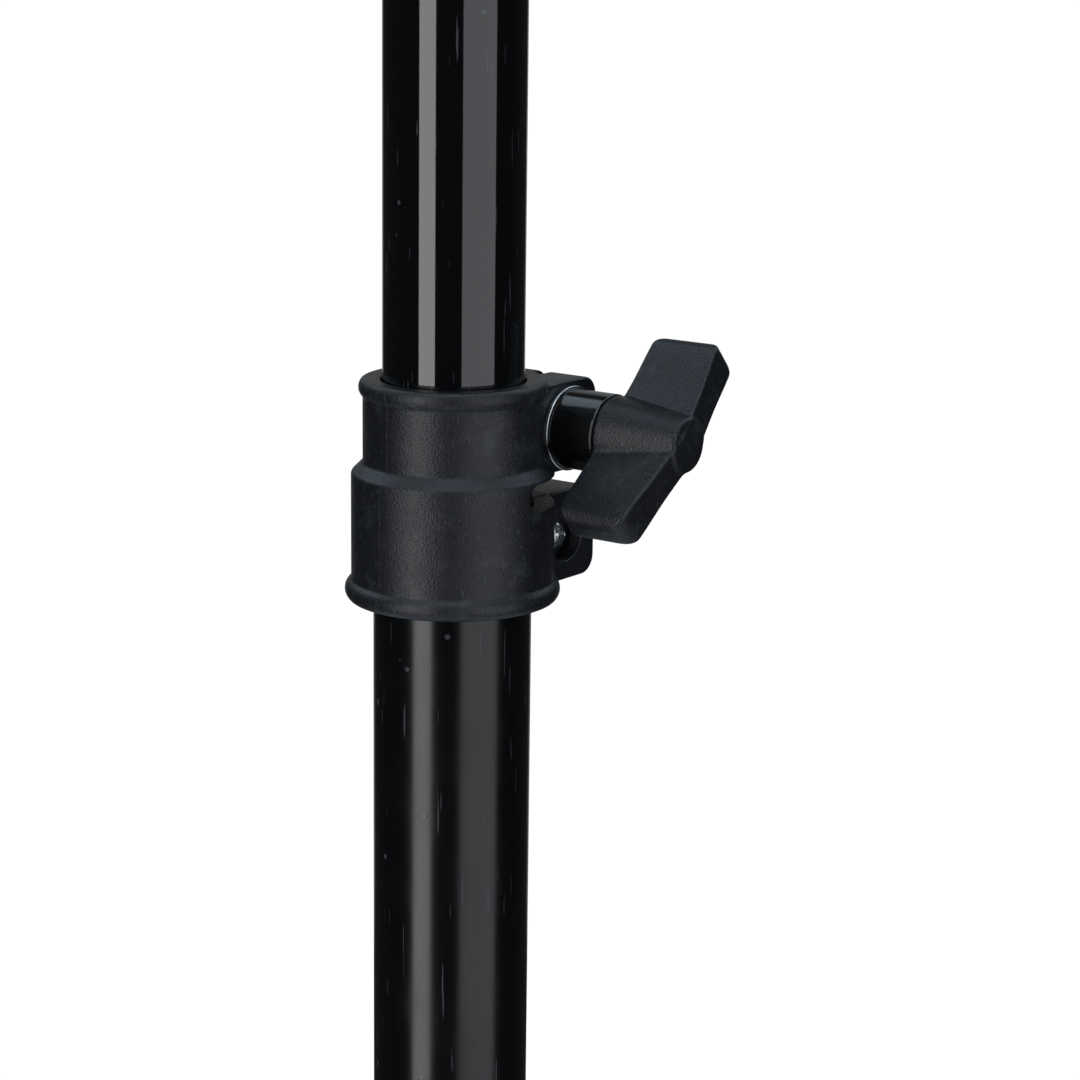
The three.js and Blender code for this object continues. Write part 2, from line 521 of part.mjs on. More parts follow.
// The ledge: a folded sheet with a flange behind the panel, a shelf under it and a lip at the front.
function ledgeGeometry() {
  const { bottom, lipHeight, front, flange, screwX, screwZ } = LEDGE;
  const { sheet } = DESK;
  const flangeFront = DESK.back + GAP;
  const flangeBack = flangeFront + sheet;
  const section = new THREE.Shape();
  section.moveTo(front, bottom).lineTo(flangeBack, bottom).lineTo(flangeBack, bottom + flange);
  section.lineTo(flangeFront, bottom + flange).lineTo(flangeFront, bottom + sheet);
  section.lineTo(front + sheet, bottom + sheet).lineTo(front + sheet, bottom + lipHeight);
  section.lineTo(front, bottom + lipHeight);
  const holes = screwX.map((x) => alongY(rod(SCREW_RADIUS + GAP, -60, -25)).translate(x, 0, screwZ));
  return cut(plateYZ(section, DESK.width - 2 * (sheet + GAP) - 0.6), ...holes);
}

function addTiltClamp(desk) {
  const bolt = new THREE.Group();
  bolt.rotation.y = Math.PI / 2;
  desk.add(bolt);
  const hole = BOLT_RADIUS + GAP;
  const washerSeat = EAR.outer + GAP;
  const knobSeat = washerSeat + WASHER.thickness + GAP;
  const nutSeat = EAR.outer + GAP + NUT.thickness;
  const frictionSeat = TILT_HEAD.halfThickness + GAP;
  const friction = () => washer(FRICTION_WASHER.radius, hole, FRICTION_WASHER.thickness);
  add(bolt, 'friction_washer_right', friction(), NYLON).position.z = frictionSeat;
  add(bolt, 'friction_washer_left', friction(), NYLON).position.z = -frictionSeat - FRICTION_WASHER.thickness;
  add(bolt, 'tilt_washer', washer(WASHER.radius, hole, WASHER.thickness), ZINC_STEEL).position.z = washerSeat;
  const knob = add(bolt, 'tilt_knob', wingKnob(), MOULDED_PLASTIC);
  knob.position.z = knobSeat;
  add(bolt, 'tilt_bolt', rod(BOLT_RADIUS, -nutSeat - 1.5, knobSeat + WING_KNOB.boltDepth), ZINC_STEEL);
  add(bolt, 'tilt_nut', nut(NUT, hole), ZINC_STEEL).position.z = -nutSeat;
}

function buildDesk() {
  const desk = new THREE.Group();
  desk.position.z = TILT_PIVOT_Z;
  desk.rotation.x = -TILT_REST;
  add(desk, 'desk_panel', panelGeometry(), DESK_PAINT);
  add(desk, 'desk_ledge', ledgeGeometry(), DESK_PAINT);
  add(desk, 'desk_bracket', bracketGeometry(), SATIN_PAINT);
  const frontScrew = () => domedScrew(6).rotateX(Math.PI / 2).translate(0, DESK.front - GAP, 0);
  screwPlaces(BRACKET.screwX, BRACKET.screwZ).forEach(([x, z], i) =>
    add(desk, `bracket_screw_${i + 1}`, frontScrew(), BLACK_STEEL).position.set(x, 0, z));
  LEDGE.screwX.forEach((x, i) =>
    add(desk, `ledge_screw_${i + 1}`, frontScrew(), BLACK_STEEL).position.set(x, 0, LEDGE.screwZ));
  addTiltClamp(desk);
  return desk;
}

// ---------------------------------------------------------------- the whole stand

const stand = new THREE.Group();
stand.add(buildMast(), buildCrown(), buildBase(), buildDesk());
add(stand, 'tilt_head', tiltHeadGeometry(), BLACK_STEEL);
const headRivet = alongX(rivet(2 * UPPER_TUBE.outer, { radius: SCREW_RADIUS, headRadius: 3.5, head: 1.2 }));
add(stand, 'tilt_head_rivet', headRivet, BLACK_STEEL).position.z = TILT_HEAD.rivetZ;

// The origin is on the floor under the middle of the stand's outer box, so the mast stands
// a little behind it.
stand.updateMatrixWorld(true);
const outerBox = new THREE.Box3().setFromObject(stand, true);
stand.position.set(0, -(outerBox.min.y + outerBox.max.y) / 2, 0);

export default stand;
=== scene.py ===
"""The finished surfaces, materials, light and camera of a folding music stand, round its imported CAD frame.

Shapes are worked out in millimetres, each in the axes of the sub-assembly it belongs to, and placed in metres
by that sub-assembly's matrix. Solid mouldings are distance fields, meshed with OpenVDB; turned and folded
pieces are built from their outlines.
"""

import math

import bpy
import numpy as np
import openvdb
from mathutils import Matrix, Vector


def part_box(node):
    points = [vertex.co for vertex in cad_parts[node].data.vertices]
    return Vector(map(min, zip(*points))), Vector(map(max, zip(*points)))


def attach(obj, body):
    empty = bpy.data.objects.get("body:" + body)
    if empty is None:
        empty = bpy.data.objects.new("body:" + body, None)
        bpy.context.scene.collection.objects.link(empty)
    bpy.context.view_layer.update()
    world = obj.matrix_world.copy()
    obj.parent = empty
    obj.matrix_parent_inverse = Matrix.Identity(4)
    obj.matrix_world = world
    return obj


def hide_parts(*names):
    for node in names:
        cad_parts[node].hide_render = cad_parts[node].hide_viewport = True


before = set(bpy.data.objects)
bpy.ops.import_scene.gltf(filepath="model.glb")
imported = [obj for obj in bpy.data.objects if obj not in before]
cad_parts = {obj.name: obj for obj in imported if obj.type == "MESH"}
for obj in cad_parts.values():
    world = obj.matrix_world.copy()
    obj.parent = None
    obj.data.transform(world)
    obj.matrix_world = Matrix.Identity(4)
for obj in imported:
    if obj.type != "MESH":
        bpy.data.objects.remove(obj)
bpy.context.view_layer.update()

MM = 0.001
FIT = 0.06                    # gap left between finished pieces that touch
CLOSE = 0.1                   # clearance of a finished piece in or behind another
CAD_GAP = 0.3                 # clearance between touching CAD solids

# ---- driving dimensions, millimetres

LOWER_TUBE = {"outer": 14.3, "inner": 13.1}
UPPER_TUBE = {"outer": 12.7, "inner": 11.5}

COLLAR = {
    "height": 40.2, "lower_radius": 18.3, "upper_radius": 16.2, "shoulder": 23.2, "step": 22.7, "slot": 2.6,
    "lower_bead": (1.15, 3.8), "upper_bead": (0.75, 3.2),     # bulge and height
}
LUG = {"half_width": 9.8, "reach": 30.2, "corner": 3.5, "upper": (21.4, 37.9), "lower": (0.7, 17.7)}
LUG_ROOT = 8.0                # how near its ring's axis any lug starts
CLAMP_BOLT = {"offset": 21.5, "height": 29.2, "spot_face": 8.8, "behind": 2.7, "thread": 14.0, "nut_out": 0.7}
SEAM = {"x": -2.3, "half_width": 0.2, "height": 0.05}     # the mould's parting line, down the collar's front
COLLAR_SCREW = {"offset": 21.5, "height": 8.7, "head": 3.5, "crest": 2.4, "recess": 4.4, "depth": 3.8}
PARTING = {"front": -1.1, "bottom": 17.8, "top": 22.9, "round": 2.5}     # slot between the clamp rings
BUSH = {"inner": 8.0, "outer": 12.85}

BOLT = {"radius": 3.0, "pitch": 1.0, "thread_depth": 0.3, "chamfer": 0.7}
BOLT_HOLE = BOLT["radius"] + CAD_GAP
SCREW_RADIUS = 2.0
SCREW_HOLE = SCREW_RADIUS + CAD_GAP
PAN_HEAD = (4.0, 1.8)         # radius and height of a small screw's head
NUT = (10.0, 5.0)             # across flats, thickness
SMALL_NUT = (7.0, 3.2)
WASHER = {"radius": 7.8, "thickness": 1.3, "seen": 0.8}     # seen: as finished at the clamp
SLEEVE = {"radius": 7.35, "length": 8.0}
KNOB = {"base": 7.2, "end": 4.9, "length": 16.3, "reach": 21.6, "tip": 14.0, "bolt_depth": 11.0,
        "half_thickness": 3.1, "swell": 0.5, "lock_gap": 1.5}     # lock_gap: from crown boss to knob
CLAMP_WING_ANGLE = 42.5

LEG_AZIMUTHS = (-90, 30, 150)
PIVOT_RADIUS = 30.0
SPREAD = math.radians(58)
STRUT_LENGTH = 130.0
LEG = {"length": 320.0, "width": 12.0, "depth": 18.0, "wall": 1.2, "end_height": 14.0}
STRUT = {"half_depth": 8.0, "inner": 6.3, "sheet": 1.5, "web_end": 24.0, "fold": 2.2}
CROWN_Z = LEG["end_height"] + LEG["length"] * math.cos(SPREAD)
HUB_Z = CROWN_Z - 2 * STRUT_LENGTH * math.cos(SPREAD)
RING_RADIUS = 19.5
CROWN = {"below": 25.0, "above": 22.0, "lug": 3.0, "round": 9.0, "boss": 8.0, "boss_end": 27.0, "rise": 1.0}
HUB = {"bottom": 25.0, "floor": 3.0, "top": 64.0, "round": 7.5, "screw": 36.0}
PIN = {"radius": 2.5, "head": 4.5, "crest": 1.5}
FOOT = {"wall": 2.0, "sole": 20.0, "overlap": 24.0, "cap": 3.5, "cuff": 0.7, "cuff_height": 4.0}
PAD = {"radius": 3.0, "thickness": 2.4}

TILT_Z = 972.0
TILT_REST = math.radians(20)
TILT_HEAD = {"bottom": 905.0, "seat": 940.1, "flange": 945.0, "half": 8.0, "round": 13.0, "neck": 11.0}
TILT_RIVET = {"height": 922.0, "head": 3.5, "crest": 1.2}
TILT_BOLT = {"behind": 1.5, "thread": 12.0}
FRICTION_RADIUS = 10.0
EAR = {"inner": 9.8, "outer": 12.3, "round": 13.0, "half_height": 24.0, "root": 6.0}
BRACKET = {"half_width": 30.0, "half_height": 32.0, "corner": 6.0, "sheet": 2.5}
BRACKET_SCREWS = [(-21.0, -24.0), (21.0, -24.0), (21.0, 24.0), (-21.0, 24.0)]
LEDGE_SCREWS = [(-180, -140.0), (0, -140.0), (180, -140.0)]
DESK = {"half_width": 254.0, "top": 181.5, "bottom": -148.5, "front": -35.2, "back": -34.0, "rim": 8.0,
        "corner": 18.0, "lower_corner": 4.0, "sheet": 1.2, "bend": 1.4}
LEDGE = {"bottom": -150.0, "lip": 16.0, "front": -94.0, "flange": 20.0, "end_gap": 0.6}

# Voxel size in millimetres, and number of triangles, of each piece that is meshed from a distance field.
MESHING = {
    "collar": (0.21, 190000), "knob": (0.2, 90000), "crown": (0.5, 110000), "hub": (0.5, 90000),
    "strut": (0.42, 30000), "boot": (0.5, 24000), "tilt_head": (0.4, 60000), "bracket": (0.5, 70000),
}

# ---- where each sub-assembly's axes are


def moved(x=0.0, y=0.0, z=0.0):
    return Matrix.Translation((x * MM, y * MM, z * MM))


def turned_about(axis, degrees):
    return Matrix.Rotation(math.radians(degrees), 4, axis)


def placed(name, data):
    """A new object in the scene."""
    thing = bpy.data.objects.new(name, data)
    bpy.context.scene.collection.objects.link(thing)
    return thing


def centre_of(node):
    low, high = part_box(node)
    return (low + high) / 2


MAST = Matrix.Translation((centre_of("upper_tube").x, centre_of("upper_tube").y, 0.0))
COLLAR_AXES = MAST @ Matrix.Translation((0, 0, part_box("clamp_collar")[0].z))
ALONG_X = turned_about("Y", 90)        # turns a shape built about +Z to point along +X
ALONG_Y = turned_about("X", -90)
FACING_FRONT = turned_about("X", 90)   # +Z becomes -Y, and +Y becomes up
CLAMP_AXES = COLLAR_AXES @ moved(y=CLAMP_BOLT["offset"], z=CLAMP_BOLT["height"]) @ ALONG_X
CROWN_AXES = MAST @ moved(z=CROWN_Z)
LOCK_AXES = CROWN_AXES @ moved(z=CROWN["rise"]) @ ALONG_Y
DESK_AXES = MAST @ moved(z=TILT_Z) @ Matrix.Rotation(-TILT_REST, 4, "X")
TILT_AXES = DESK_AXES @ ALONG_X


def spoke(index):
    return MAST @ turned_about("Z", LEG_AZIMUTHS[index])


def leg_axes(index):
    return spoke(index) @ moved(x=PIVOT_RADIUS, z=CROWN_Z) @ Matrix.Rotation(math.pi - SPREAD, 4, "Y")


def strut_axes(index):
    return spoke(index) @ moved(x=PIVOT_RADIUS, z=HUB_Z) @ Matrix.Rotation(SPREAD, 4, "Y")


# ---- distance fields
# Each takes coordinates in millimetres, as arrays, and gives the distance to its surface, negative inside.
# The last number that meet, join and cut are given is the radius of the edge or corner they leave.


def meet(a, b, edge=0.0):
    """Where both are solid, with the edge between them rounded."""
    a = a + edge
    b = b + edge
    return np.hypot(np.maximum(a, 0), np.maximum(b, 0)) + np.minimum(np.maximum(a, b), 0) - edge


def join(a, b, fillet=0.0):
    return -meet(-a, -b, fillet)


def cut(body, tool, edge=0.0):
    return meet(body, -tool, edge)


def disc(u, v, radius):
    return np.hypot(u, v) - radius


def slab(w, low, high):
    return np.abs(w - (low + high) / 2) - (high - low) / 2


def bar(u, v, start, end, radius):
    """A round-ended bar along u."""
    return np.hypot(u - np.clip(u, start, end), v) - radius


def half_plane(u, v, at, slope_degrees):
    """Solid below a line through `at` that falls at that slope as u grows."""
    angle = math.radians(slope_degrees)
    return (u - at[0]) * math.sin(angle) + (v - at[1]) * math.cos(angle)


def hexagon(u, v, across_flats):
    flats = [abs(u * math.cos(math.radians(t)) + v * math.sin(math.radians(t))) for t in (30, 90, 150)]
    return np.maximum(np.maximum(flats[0], flats[1]), flats[2]) - across_flats / 2


def turned_plane(x, y, degrees):
    """The coordinates along and across a direction that many degrees round from +X."""
    angle = math.radians(degrees)
    return x * math.cos(angle) + y * math.sin(angle), y * math.cos(angle) - x * math.sin(angle)


def meshed(field, low, high, voxel, faces=None):
    """A distance field's surface inside a box, as (vertices, faces), thinned to about `faces` triangles."""
    axes = [np.arange(start - 2 * voxel, end + 3 * voxel, voxel) for start, end in zip(low, high)]
    x, y, z = np.meshgrid(*axes, indexing="ij", sparse=True)
    band = 3 * voxel
    values = np.clip(field(x, y, z), -band, band).astype(np.float32)
    grid = openvdb.FloatGrid(background=band)
    grid.copyFromArray(np.ascontiguousarray(values))
    points, quads = grid.convertToQuads(0.0)
    points = points.astype(float) * voxel + [axis[0] for axis in axes]
    quads = quads[:, ::-1]
    if faces and 2 * len(quads) > faces:
        points, quads = thinned(points, quads, faces / (2 * len(quads)))
    return settled(field, points, voxel), quads


def thinned(points, faces, ratio):
    mesh = bpy.data.meshes.new("thinned")
    mesh.from_pydata(points.tolist(), [], faces.tolist())
    piece = placed("thinned", mesh)
    piece.modifiers.new("thin", "DECIMATE").ratio = ratio
    depsgraph = bpy.context.evaluated_depsgraph_get()
    result = piece.evaluated_get(depsgraph).to_mesh()
    vertices = np.array([v.co for v in result.vertices], float)
    polygons = [list(p.vertices) for p in result.polygons]
    bpy.data.objects.remove(piece)
    bpy.data.meshes.remove(mesh)
    return vertices, polygons


def settled(field, points, voxel):
    """The points moved on to the field's surface."""
    step = voxel / 8
    reach = voxel / 2
    for _ in range(2):
        x, y, z = points.T
        here = field(x, y, z)
        slope = np.stack([
            field(x + step, y, z) - field(x - step, y, z),
            field(x, y + step, z) - field(x, y - step, z),
            field(x, y, z + step) - field(x, y, z - step),
        ], axis=1) / (2 * step)
        steepness = np.maximum((slope ** 2).sum(axis=1), 0.25)
        shift = np.clip(here / steepness, -reach, reach)
        points = points - slope * shift[:, None]
    return points


# ---- outlines, turned and folded shapes

ARC_STEP = math.radians(12)
SHARP_ANGLE = math.radians(40)


def rounded_path(corners, closed=True):
    """A polyline through (u, v, radius) corners, each corner replaced by an arc of its radius."""
    points = []
    count = len(corners)
    for i, (u, v, radius) in enumerate(corners):
        at = Vector((u, v))
        if not radius or (not closed and i in (0, count - 1)):
            points.append(tuple(at))
            continue
        before = (Vector(corners[i - 1][:2]) - at).normalized()
        after = (Vector(corners[(i + 1) % count][:2]) - at).normalized()
        half = before.angle(after) / 2
        middle = at + (before + after).normalized() * (radius / math.sin(half))
        start = at + before * (radius / math.tan(half)) - middle
        turn = (math.pi - 2 * half) * (-1 if before.cross(after) > 0 else 1)
        steps = max(2, math.ceil(abs(turn) / ARC_STEP))
        for k in range(steps + 1):
            angle = turn * k / steps
            c, s = math.cos(angle), math.sin(angle)
            points.append((middle.x + start.x * c - start.y * s, middle.y + start.x * s + start.y * c))
    return points


def inset(outline, distance):
    """A closed counter-clockwise outline, moved inwards."""
    points = np.array(outline, float)
    ahead = np.roll(points, -1, axis=0) - points
    ahead /= np.linalg.norm(ahead, axis=1)[:, None]
    behind = np.roll(ahead, 1, axis=0)
    normal = np.stack([-(ahead[:, 1] + behind[:, 1]), ahead[:, 0] + behind[:, 0]], axis=1)
    normal /= np.linalg.norm(normal, axis=1)[:, None]
    facing = np.stack([-ahead[:, 1], ahead[:, 0]], axis=1)
    return points + normal * (distance / (normal * facing).sum(axis=1))[:, None]


def without_repeats(outline, smallest=1e-4):
    return [p for i, p in enumerate(outline) if math.dist(p, outline[i - 1]) > smallest]


def stacked(rings, closed=False):
    """A surface through rings of points: its ends are capped, or the last ring meets the first."""
    size = len(rings[0])
    vertices = [tuple(map(float, point)) for ring in rings for point in ring]
    faces = []
    pairs = len(rings) if closed else len(rings) - 1
    for i in range(pairs):
        a = i * size
        b = ((i + 1) % len(rings)) * size
        faces += [(a + k, a + (k + 1) % size, b + (k + 1) % size, b + k) for k in range(size)]
    if not closed:
        faces.append(tuple(reversed(range(size))))
        faces.append(tuple(range((len(rings) - 1) * size, len(rings) * size)))
    return vertices, faces


def spun(profile, sides):
    """A (radius, height) outline turned about Z. It closes on itself, or starts and ends on the axis."""
    on_axis = abs(profile[0][0]) < 1e-6
    inner = profile[1:-1] if on_axis else profile
    angles = [2 * math.pi * k / sides for k in range(sides)]
    rings = [[(r * math.cos(a), r * math.sin(a), z) for a in angles] for r, z in inner]
    if not on_axis:
        return stacked(rings, closed=True)
    vertices, faces = stacked(rings)
    faces = faces[:-2]
    last = (len(rings) - 1) * sides
    vertices += [(0, 0, profile[0][1]), (0, 0, profile[-1][1])]
    bottom, top = len(vertices) - 2, len(vertices) - 1
    faces += [(bottom, (k + 1) % sides, k) for k in range(sides)]
    faces += [(top, last + k, last + (k + 1) % sides) for k in range(sides)]
    return vertices, faces


def plate(outline, low, high, edge):
    """A flat plate between two heights with rounded edges; the outline is counter-clockwise."""
    outline = without_repeats(outline)
    lift = [(edge * (1 - math.cos(a)), edge * (1 - math.sin(a))) for a in np.linspace(0, math.pi / 2, 4)]
    levels = [(d, low + h) for d, h in reversed(lift)] + [(d, high - h) for d, h in lift]
    return stacked([[(u, v, h) for u, v in inset(outline, d)] for d, h in levels])


def at(matrix, part):
    vertices, faces = part
    metres = Matrix(matrix)
    metres.translation = metres.translation / MM
    return [tuple(metres @ Vector(v)) for v in vertices], faces


def add_piece(name, node, part, axes, finish, body):
    """A finished piece that stands for a CAD node and rides on its body."""
    vertices, faces = part
    material, slot = finish
    mesh = bpy.data.meshes.new(name)
    mesh.from_pydata(np.asarray(vertices, float).tolist(), [], [list(map(int, f)) for f in faces])
    mesh.transform(axes @ Matrix.Scale(MM, 4))
    mesh.shade_smooth()
    mesh.set_sharp_from_angle(angle=SHARP_ANGLE)
    mesh.materials.append(material)
    piece = placed(name, mesh)
    piece.modifiers.new("even_shading", "WEIGHTED_NORMAL").keep_sharp = True
    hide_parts(node)
    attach(piece, body)


# ---- materials


class Nodes:
    """Short names for the shader nodes that the materials use."""

    def __init__(self, name):
        self.name = name
        self.material = bpy.data.materials.new(name)
        self.material.use_nodes = True
        self.tree = self.material.node_tree
        self.shader = self.tree.nodes["Principled BSDF"]
        self.where = self.add("ShaderNodeTexCoord").outputs["Object"]

    def add(self, kind, **settings):
        node = self.tree.nodes.new(kind)
        for key, value in settings.items():
            setattr(node, key, value)
        return node

    def link(self, output, socket):
        self.tree.links.new(output, socket)

    def constant(self, socket, value):
        self.shader.inputs[socket].default_value = value

    def stretched(self, scale):
        node = self.add("ShaderNodeMapping")
        node.inputs["Scale"].default_value = scale
        self.link(self.where, node.inputs["Vector"])
        return node.outputs["Vector"]

    def noise(self, size, detail=3.0, where=None, roughness=0.55):
        """Noise whose lumps are about `size` millimetres."""
        node = self.add("ShaderNodeTexNoise")
        node.inputs["Scale"].default_value = 1 / (size * MM)
        node.inputs["Detail"].default_value = detail
        node.inputs["Roughness"].default_value = roughness
        self.link(where or self.where, node.inputs["Vector"])
        return node.outputs["Fac"]

    def cells(self, size):
        """How far each point is from the middle of its cell; the cells are about `size` millimetres."""
        node = self.add("ShaderNodeTexVoronoi")
        node.inputs["Scale"].default_value = 1 / (size * MM)
        self.link(self.where, node.inputs["Vector"])
        return node.outputs["Distance"]

    def spread(self, value, low, high, to_low, to_high):
        """value from low to high becomes to_low to to_high, held beyond both."""
        node = self.add("ShaderNodeMapRange")
        for key, number in zip(("From Min", "From Max", "To Min", "To Max"), (low, high, to_low, to_high)):
            node.inputs[key].default_value = number
        self.link(value, node.inputs["Value"])
        return node.outputs["Result"]

    def maths(self, operation, a, b):
        node = self.add("ShaderNodeMath", operation=operation)
        for socket, value in zip(node.inputs, (a, b)):
            if isinstance(value, (int, float)):
                socket.default_value = value
            else:
                self.link(value, socket)
        return node.outputs[0]

    def mixed(self, share, first, second):
        """Two colours, or a colour node's output over another, mixed by share."""
        node = self.add("ShaderNodeMix", data_type="RGBA")
        self.link(share, node.inputs["Factor"])
        for socket, value in zip((node.inputs[6], node.inputs[7]), (first, second)):
            if isinstance(value, tuple):
                socket.default_value = (*value, 1.0)
            else:
                self.link(value, socket)
        return node.outputs[2]

    def finish(self, slot=None):
        """The material and a slot name, which is the material's own name unless another is given."""
        return self.material, slot or self.name

    def colour(self, output):
        self.link(output, self.shader.inputs["Base Color"])

    def roughness(self, output):
        self.link(output, self.shader.inputs["Roughness"])

    def bump(self, height, depth):
        """Relief `depth` millimetres deep, on top of any before it."""
        node = self.add("ShaderNodeBump")
        node.inputs["Distance"].default_value = depth * MM
        node.inputs["Strength"].default_value = 1.0
        self.link(height, node.inputs["Height"])
        previous = self.shader.inputs["Normal"].links
        if previous:
            self.link(previous[0].from_socket, node.inputs["Normal"])
        self.link(node.outputs["Normal"], self.shader.inputs["Normal"])

    def scratches(self, spacing, long, share):
        """Fine marks that run along Z: 1 on a mark, 0 between them."""
        along = self.stretched((1, 1, 1 / long))
        return self.spread(self.noise(spacing, 2.0, along), 1 - share, 1 - share + 0.02, 0, 1)

    def specks(self, size, share):
        """Dust: small dots, 1 on a dot."""
        near = self.spread(self.cells(size), 0.06, 0.1, 1, 0)
        where = self.spread(self.noise(size * 3, 1.0), 1 - share, 1 - share + 0.03, 0, 1)
        return self.maths("MULTIPLY", near, where)


def painted_tube(name, slot, roughness, speck_size, index):
    """Black enamel on drawn tube: a faint ripple, hairline scratches and dust."""
    n = Nodes(name)
    black, dusty = (0.001, 0.0013, 0.0015), (0.03, 0.031, 0.034)
    marks = n.scratches(0.5, 30, 0.3)
    dust = n.specks(speck_size, 0.45)
    n.colour(n.mixed(n.maths("MAXIMUM", marks, dust), black, dusty))
    smears = n.spread(n.noise(14, 3.0), 0.4, 0.7, roughness, roughness * 1.35)
    n.roughness(n.maths("ADD", smears, n.maths("MULTIPLY", marks, 0.12)))
    n.constant("IOR", index)
    n.bump(n.noise(5.0, 2.0), 0.006)
    n.bump(dust, 0.02)
    return n.finish(slot)


def powder_coat(name, tone, grain, depth, roughness):
    """Baked powder paint: a fine pebble with a softer, larger ripple under it."""
    n = Nodes(name)
    n.colour(n.mixed(n.spread(n.noise(26, 4.0), 0.3, 0.7, 0, 1), tone, tuple(1.25 * c for c in tone)))
    n.roughness(n.spread(n.noise(9, 3.0), 0.35, 0.65, roughness, roughness * 1.06))
    n.bump(n.noise(4.0, 2.0), 0.02)
    n.bump(n.noise(grain, 2.0), depth)
    return n.finish()


def moulded_plastic():
    """Black moulded nylon with a fine spark-eroded grain, scuffed paler in places."""
    n = Nodes("moulded_plastic")
    dark, pale, scuffed = (0.0015, 0.0022, 0.0032), (0.0045, 0.0052, 0.007), (0.022, 0.024, 0.027)
    scuffs = n.spread(n.noise(6, 6.0, roughness=0.72), 0.54, 0.68, 0, 0.5)
    rubbed = n.maths("MAXIMUM", scuffs, n.scratches(0.35, 4, 0.34))
    grain = n.cells(0.34)
    skin = n.mixed(n.spread(grain, 0.15, 0.55, 0, 1), dark, pale)
    n.colour(n.mixed(rubbed, skin, scuffed))
    n.roughness(n.spread(n.noise(5, 4.0), 0.3, 0.7, 0.34, 0.42))
    n.constant("IOR", 1.34)
    n.bump(n.noise(1.6, 2.0), 0.008)
    n.bump(grain, 0.05)
    n.bump(n.noise(0.14, 2.0), 0.012)
    return n.finish()


def gloss_plastic():
    """Polished black plastic with faint turning marks round it."""
    n = Nodes("gloss_plastic")
    rings = n.scratches(0.3, 0.2, 0.3)
    n.colour(n.mixed(rings, (0.004, 0.0045, 0.005), (0.014, 0.015, 0.017)))
    n.roughness(n.spread(n.noise(2.5, 3.0), 0.3, 0.7, 0.1, 0.18))
    n.bump(n.noise(2.0, 2.0), 0.006)
    return n.finish()


def nylon():
    n = Nodes("nylon")
    n.colour(n.mixed(n.noise(3, 3.0), (0.02, 0.02, 0.02), (0.035, 0.035, 0.034)))
    n.roughness(n.spread(n.noise(1.5, 3.0), 0.3, 0.7, 0.5, 0.62))
    n.bump(n.noise(0.4, 2.0), 0.01)
    return n.finish()


def plated_steel(name, pale, dull, roughness, pits):
    """Plated or blackened steel: soft blotches and small pits."""
    n = Nodes(name)
    n.constant("Metallic", 1.0)
    n.colour(n.mixed(n.spread(n.noise(1.8, 4.0), 0.35, 0.7, 0, 1), pale, dull))
    n.roughness(n.spread(n.noise(0.9, 4.0), 0.3, 0.7, roughness, roughness * 1.3))
    n.bump(n.noise(0.5, 3.0), pits)
    return n.finish()


def rubber():
    n = Nodes("rubber")
    dust = n.spread(n.noise(5, 5.0, roughness=0.65), 0.5, 0.8, 0, 0.6)
    n.colour(n.mixed(dust, (0.012, 0.012, 0.012), (0.045, 0.044, 0.042)))
    n.roughness(n.spread(n.noise(3, 3.0), 0.3, 0.7, 0.62, 0.8))
    n.bump(n.noise(0.35, 3.0), 0.03)
    return n.finish()


GLOSS_PAINT = painted_tube("gloss_paint", "gloss_paint", 0.05, 5.0, 1.5)
SATIN_TUBE = painted_tube("satin_paint_tube", "satin_paint", 0.19, 6.0, 1.37)
SATIN_PAINT = powder_coat("satin_paint", (0.006, 0.0065, 0.007), 0.9, 0.012, 0.28)
DESK_PAINT = powder_coat("desk_paint", (0.011, 0.0115, 0.0125), 0.5, 0.03, 0.45)
MOULDED_PLASTIC = moulded_plastic()
GLOSS_PLASTIC = gloss_plastic()
NYLON = nylon()
ZINC_STEEL = plated_steel("zinc_steel", (0.6, 0.61, 0.63), (0.5, 0.51, 0.53), 0.16, 0.0015)
BLACK_STEEL = plated_steel("black_steel", (0.045, 0.046, 0.05), (0.03, 0.031, 0.034), 0.34, 0.006)
RUBBER = rubber()

# ---- fasteners, built about +Z


def washer(radius, thickness, edge=0.25):
    hole = BOLT_HOLE
    corners = [(hole, 0, edge), (radius, 0, edge), (radius, thickness, edge), (hole, thickness, edge)]
    return spun(rounded_path(corners), sides=96)


def hex_nut(size, bolt_radius):
    """A nut of a (width across flats, thickness), with a thread of shallow grooves in its bore."""
    across_flats, thickness = size
    hole = bolt_radius + CLOSE
    corner = across_flats / 2 - 0.1

    def field(x, y, z):
        r = np.hypot(x, y)
        body = meet(hexagon(x, y, across_flats), slab(z, 0, thickness), 0.15)
        crown = np.maximum(half_plane(r, z, (corner, thickness), 30), half_plane(r, -z, (corner, 0), 30))
        thread = 0.18 * np.abs((z / 0.8) % 1 - 0.5)
        return cut(meet(body, crown, 0.1), r - hole - thread, 0.1)

    reach = 0.6 * across_flats
    return meshed(field, (-reach, -reach, 0), (reach, reach, thickness), across_flats / 46)


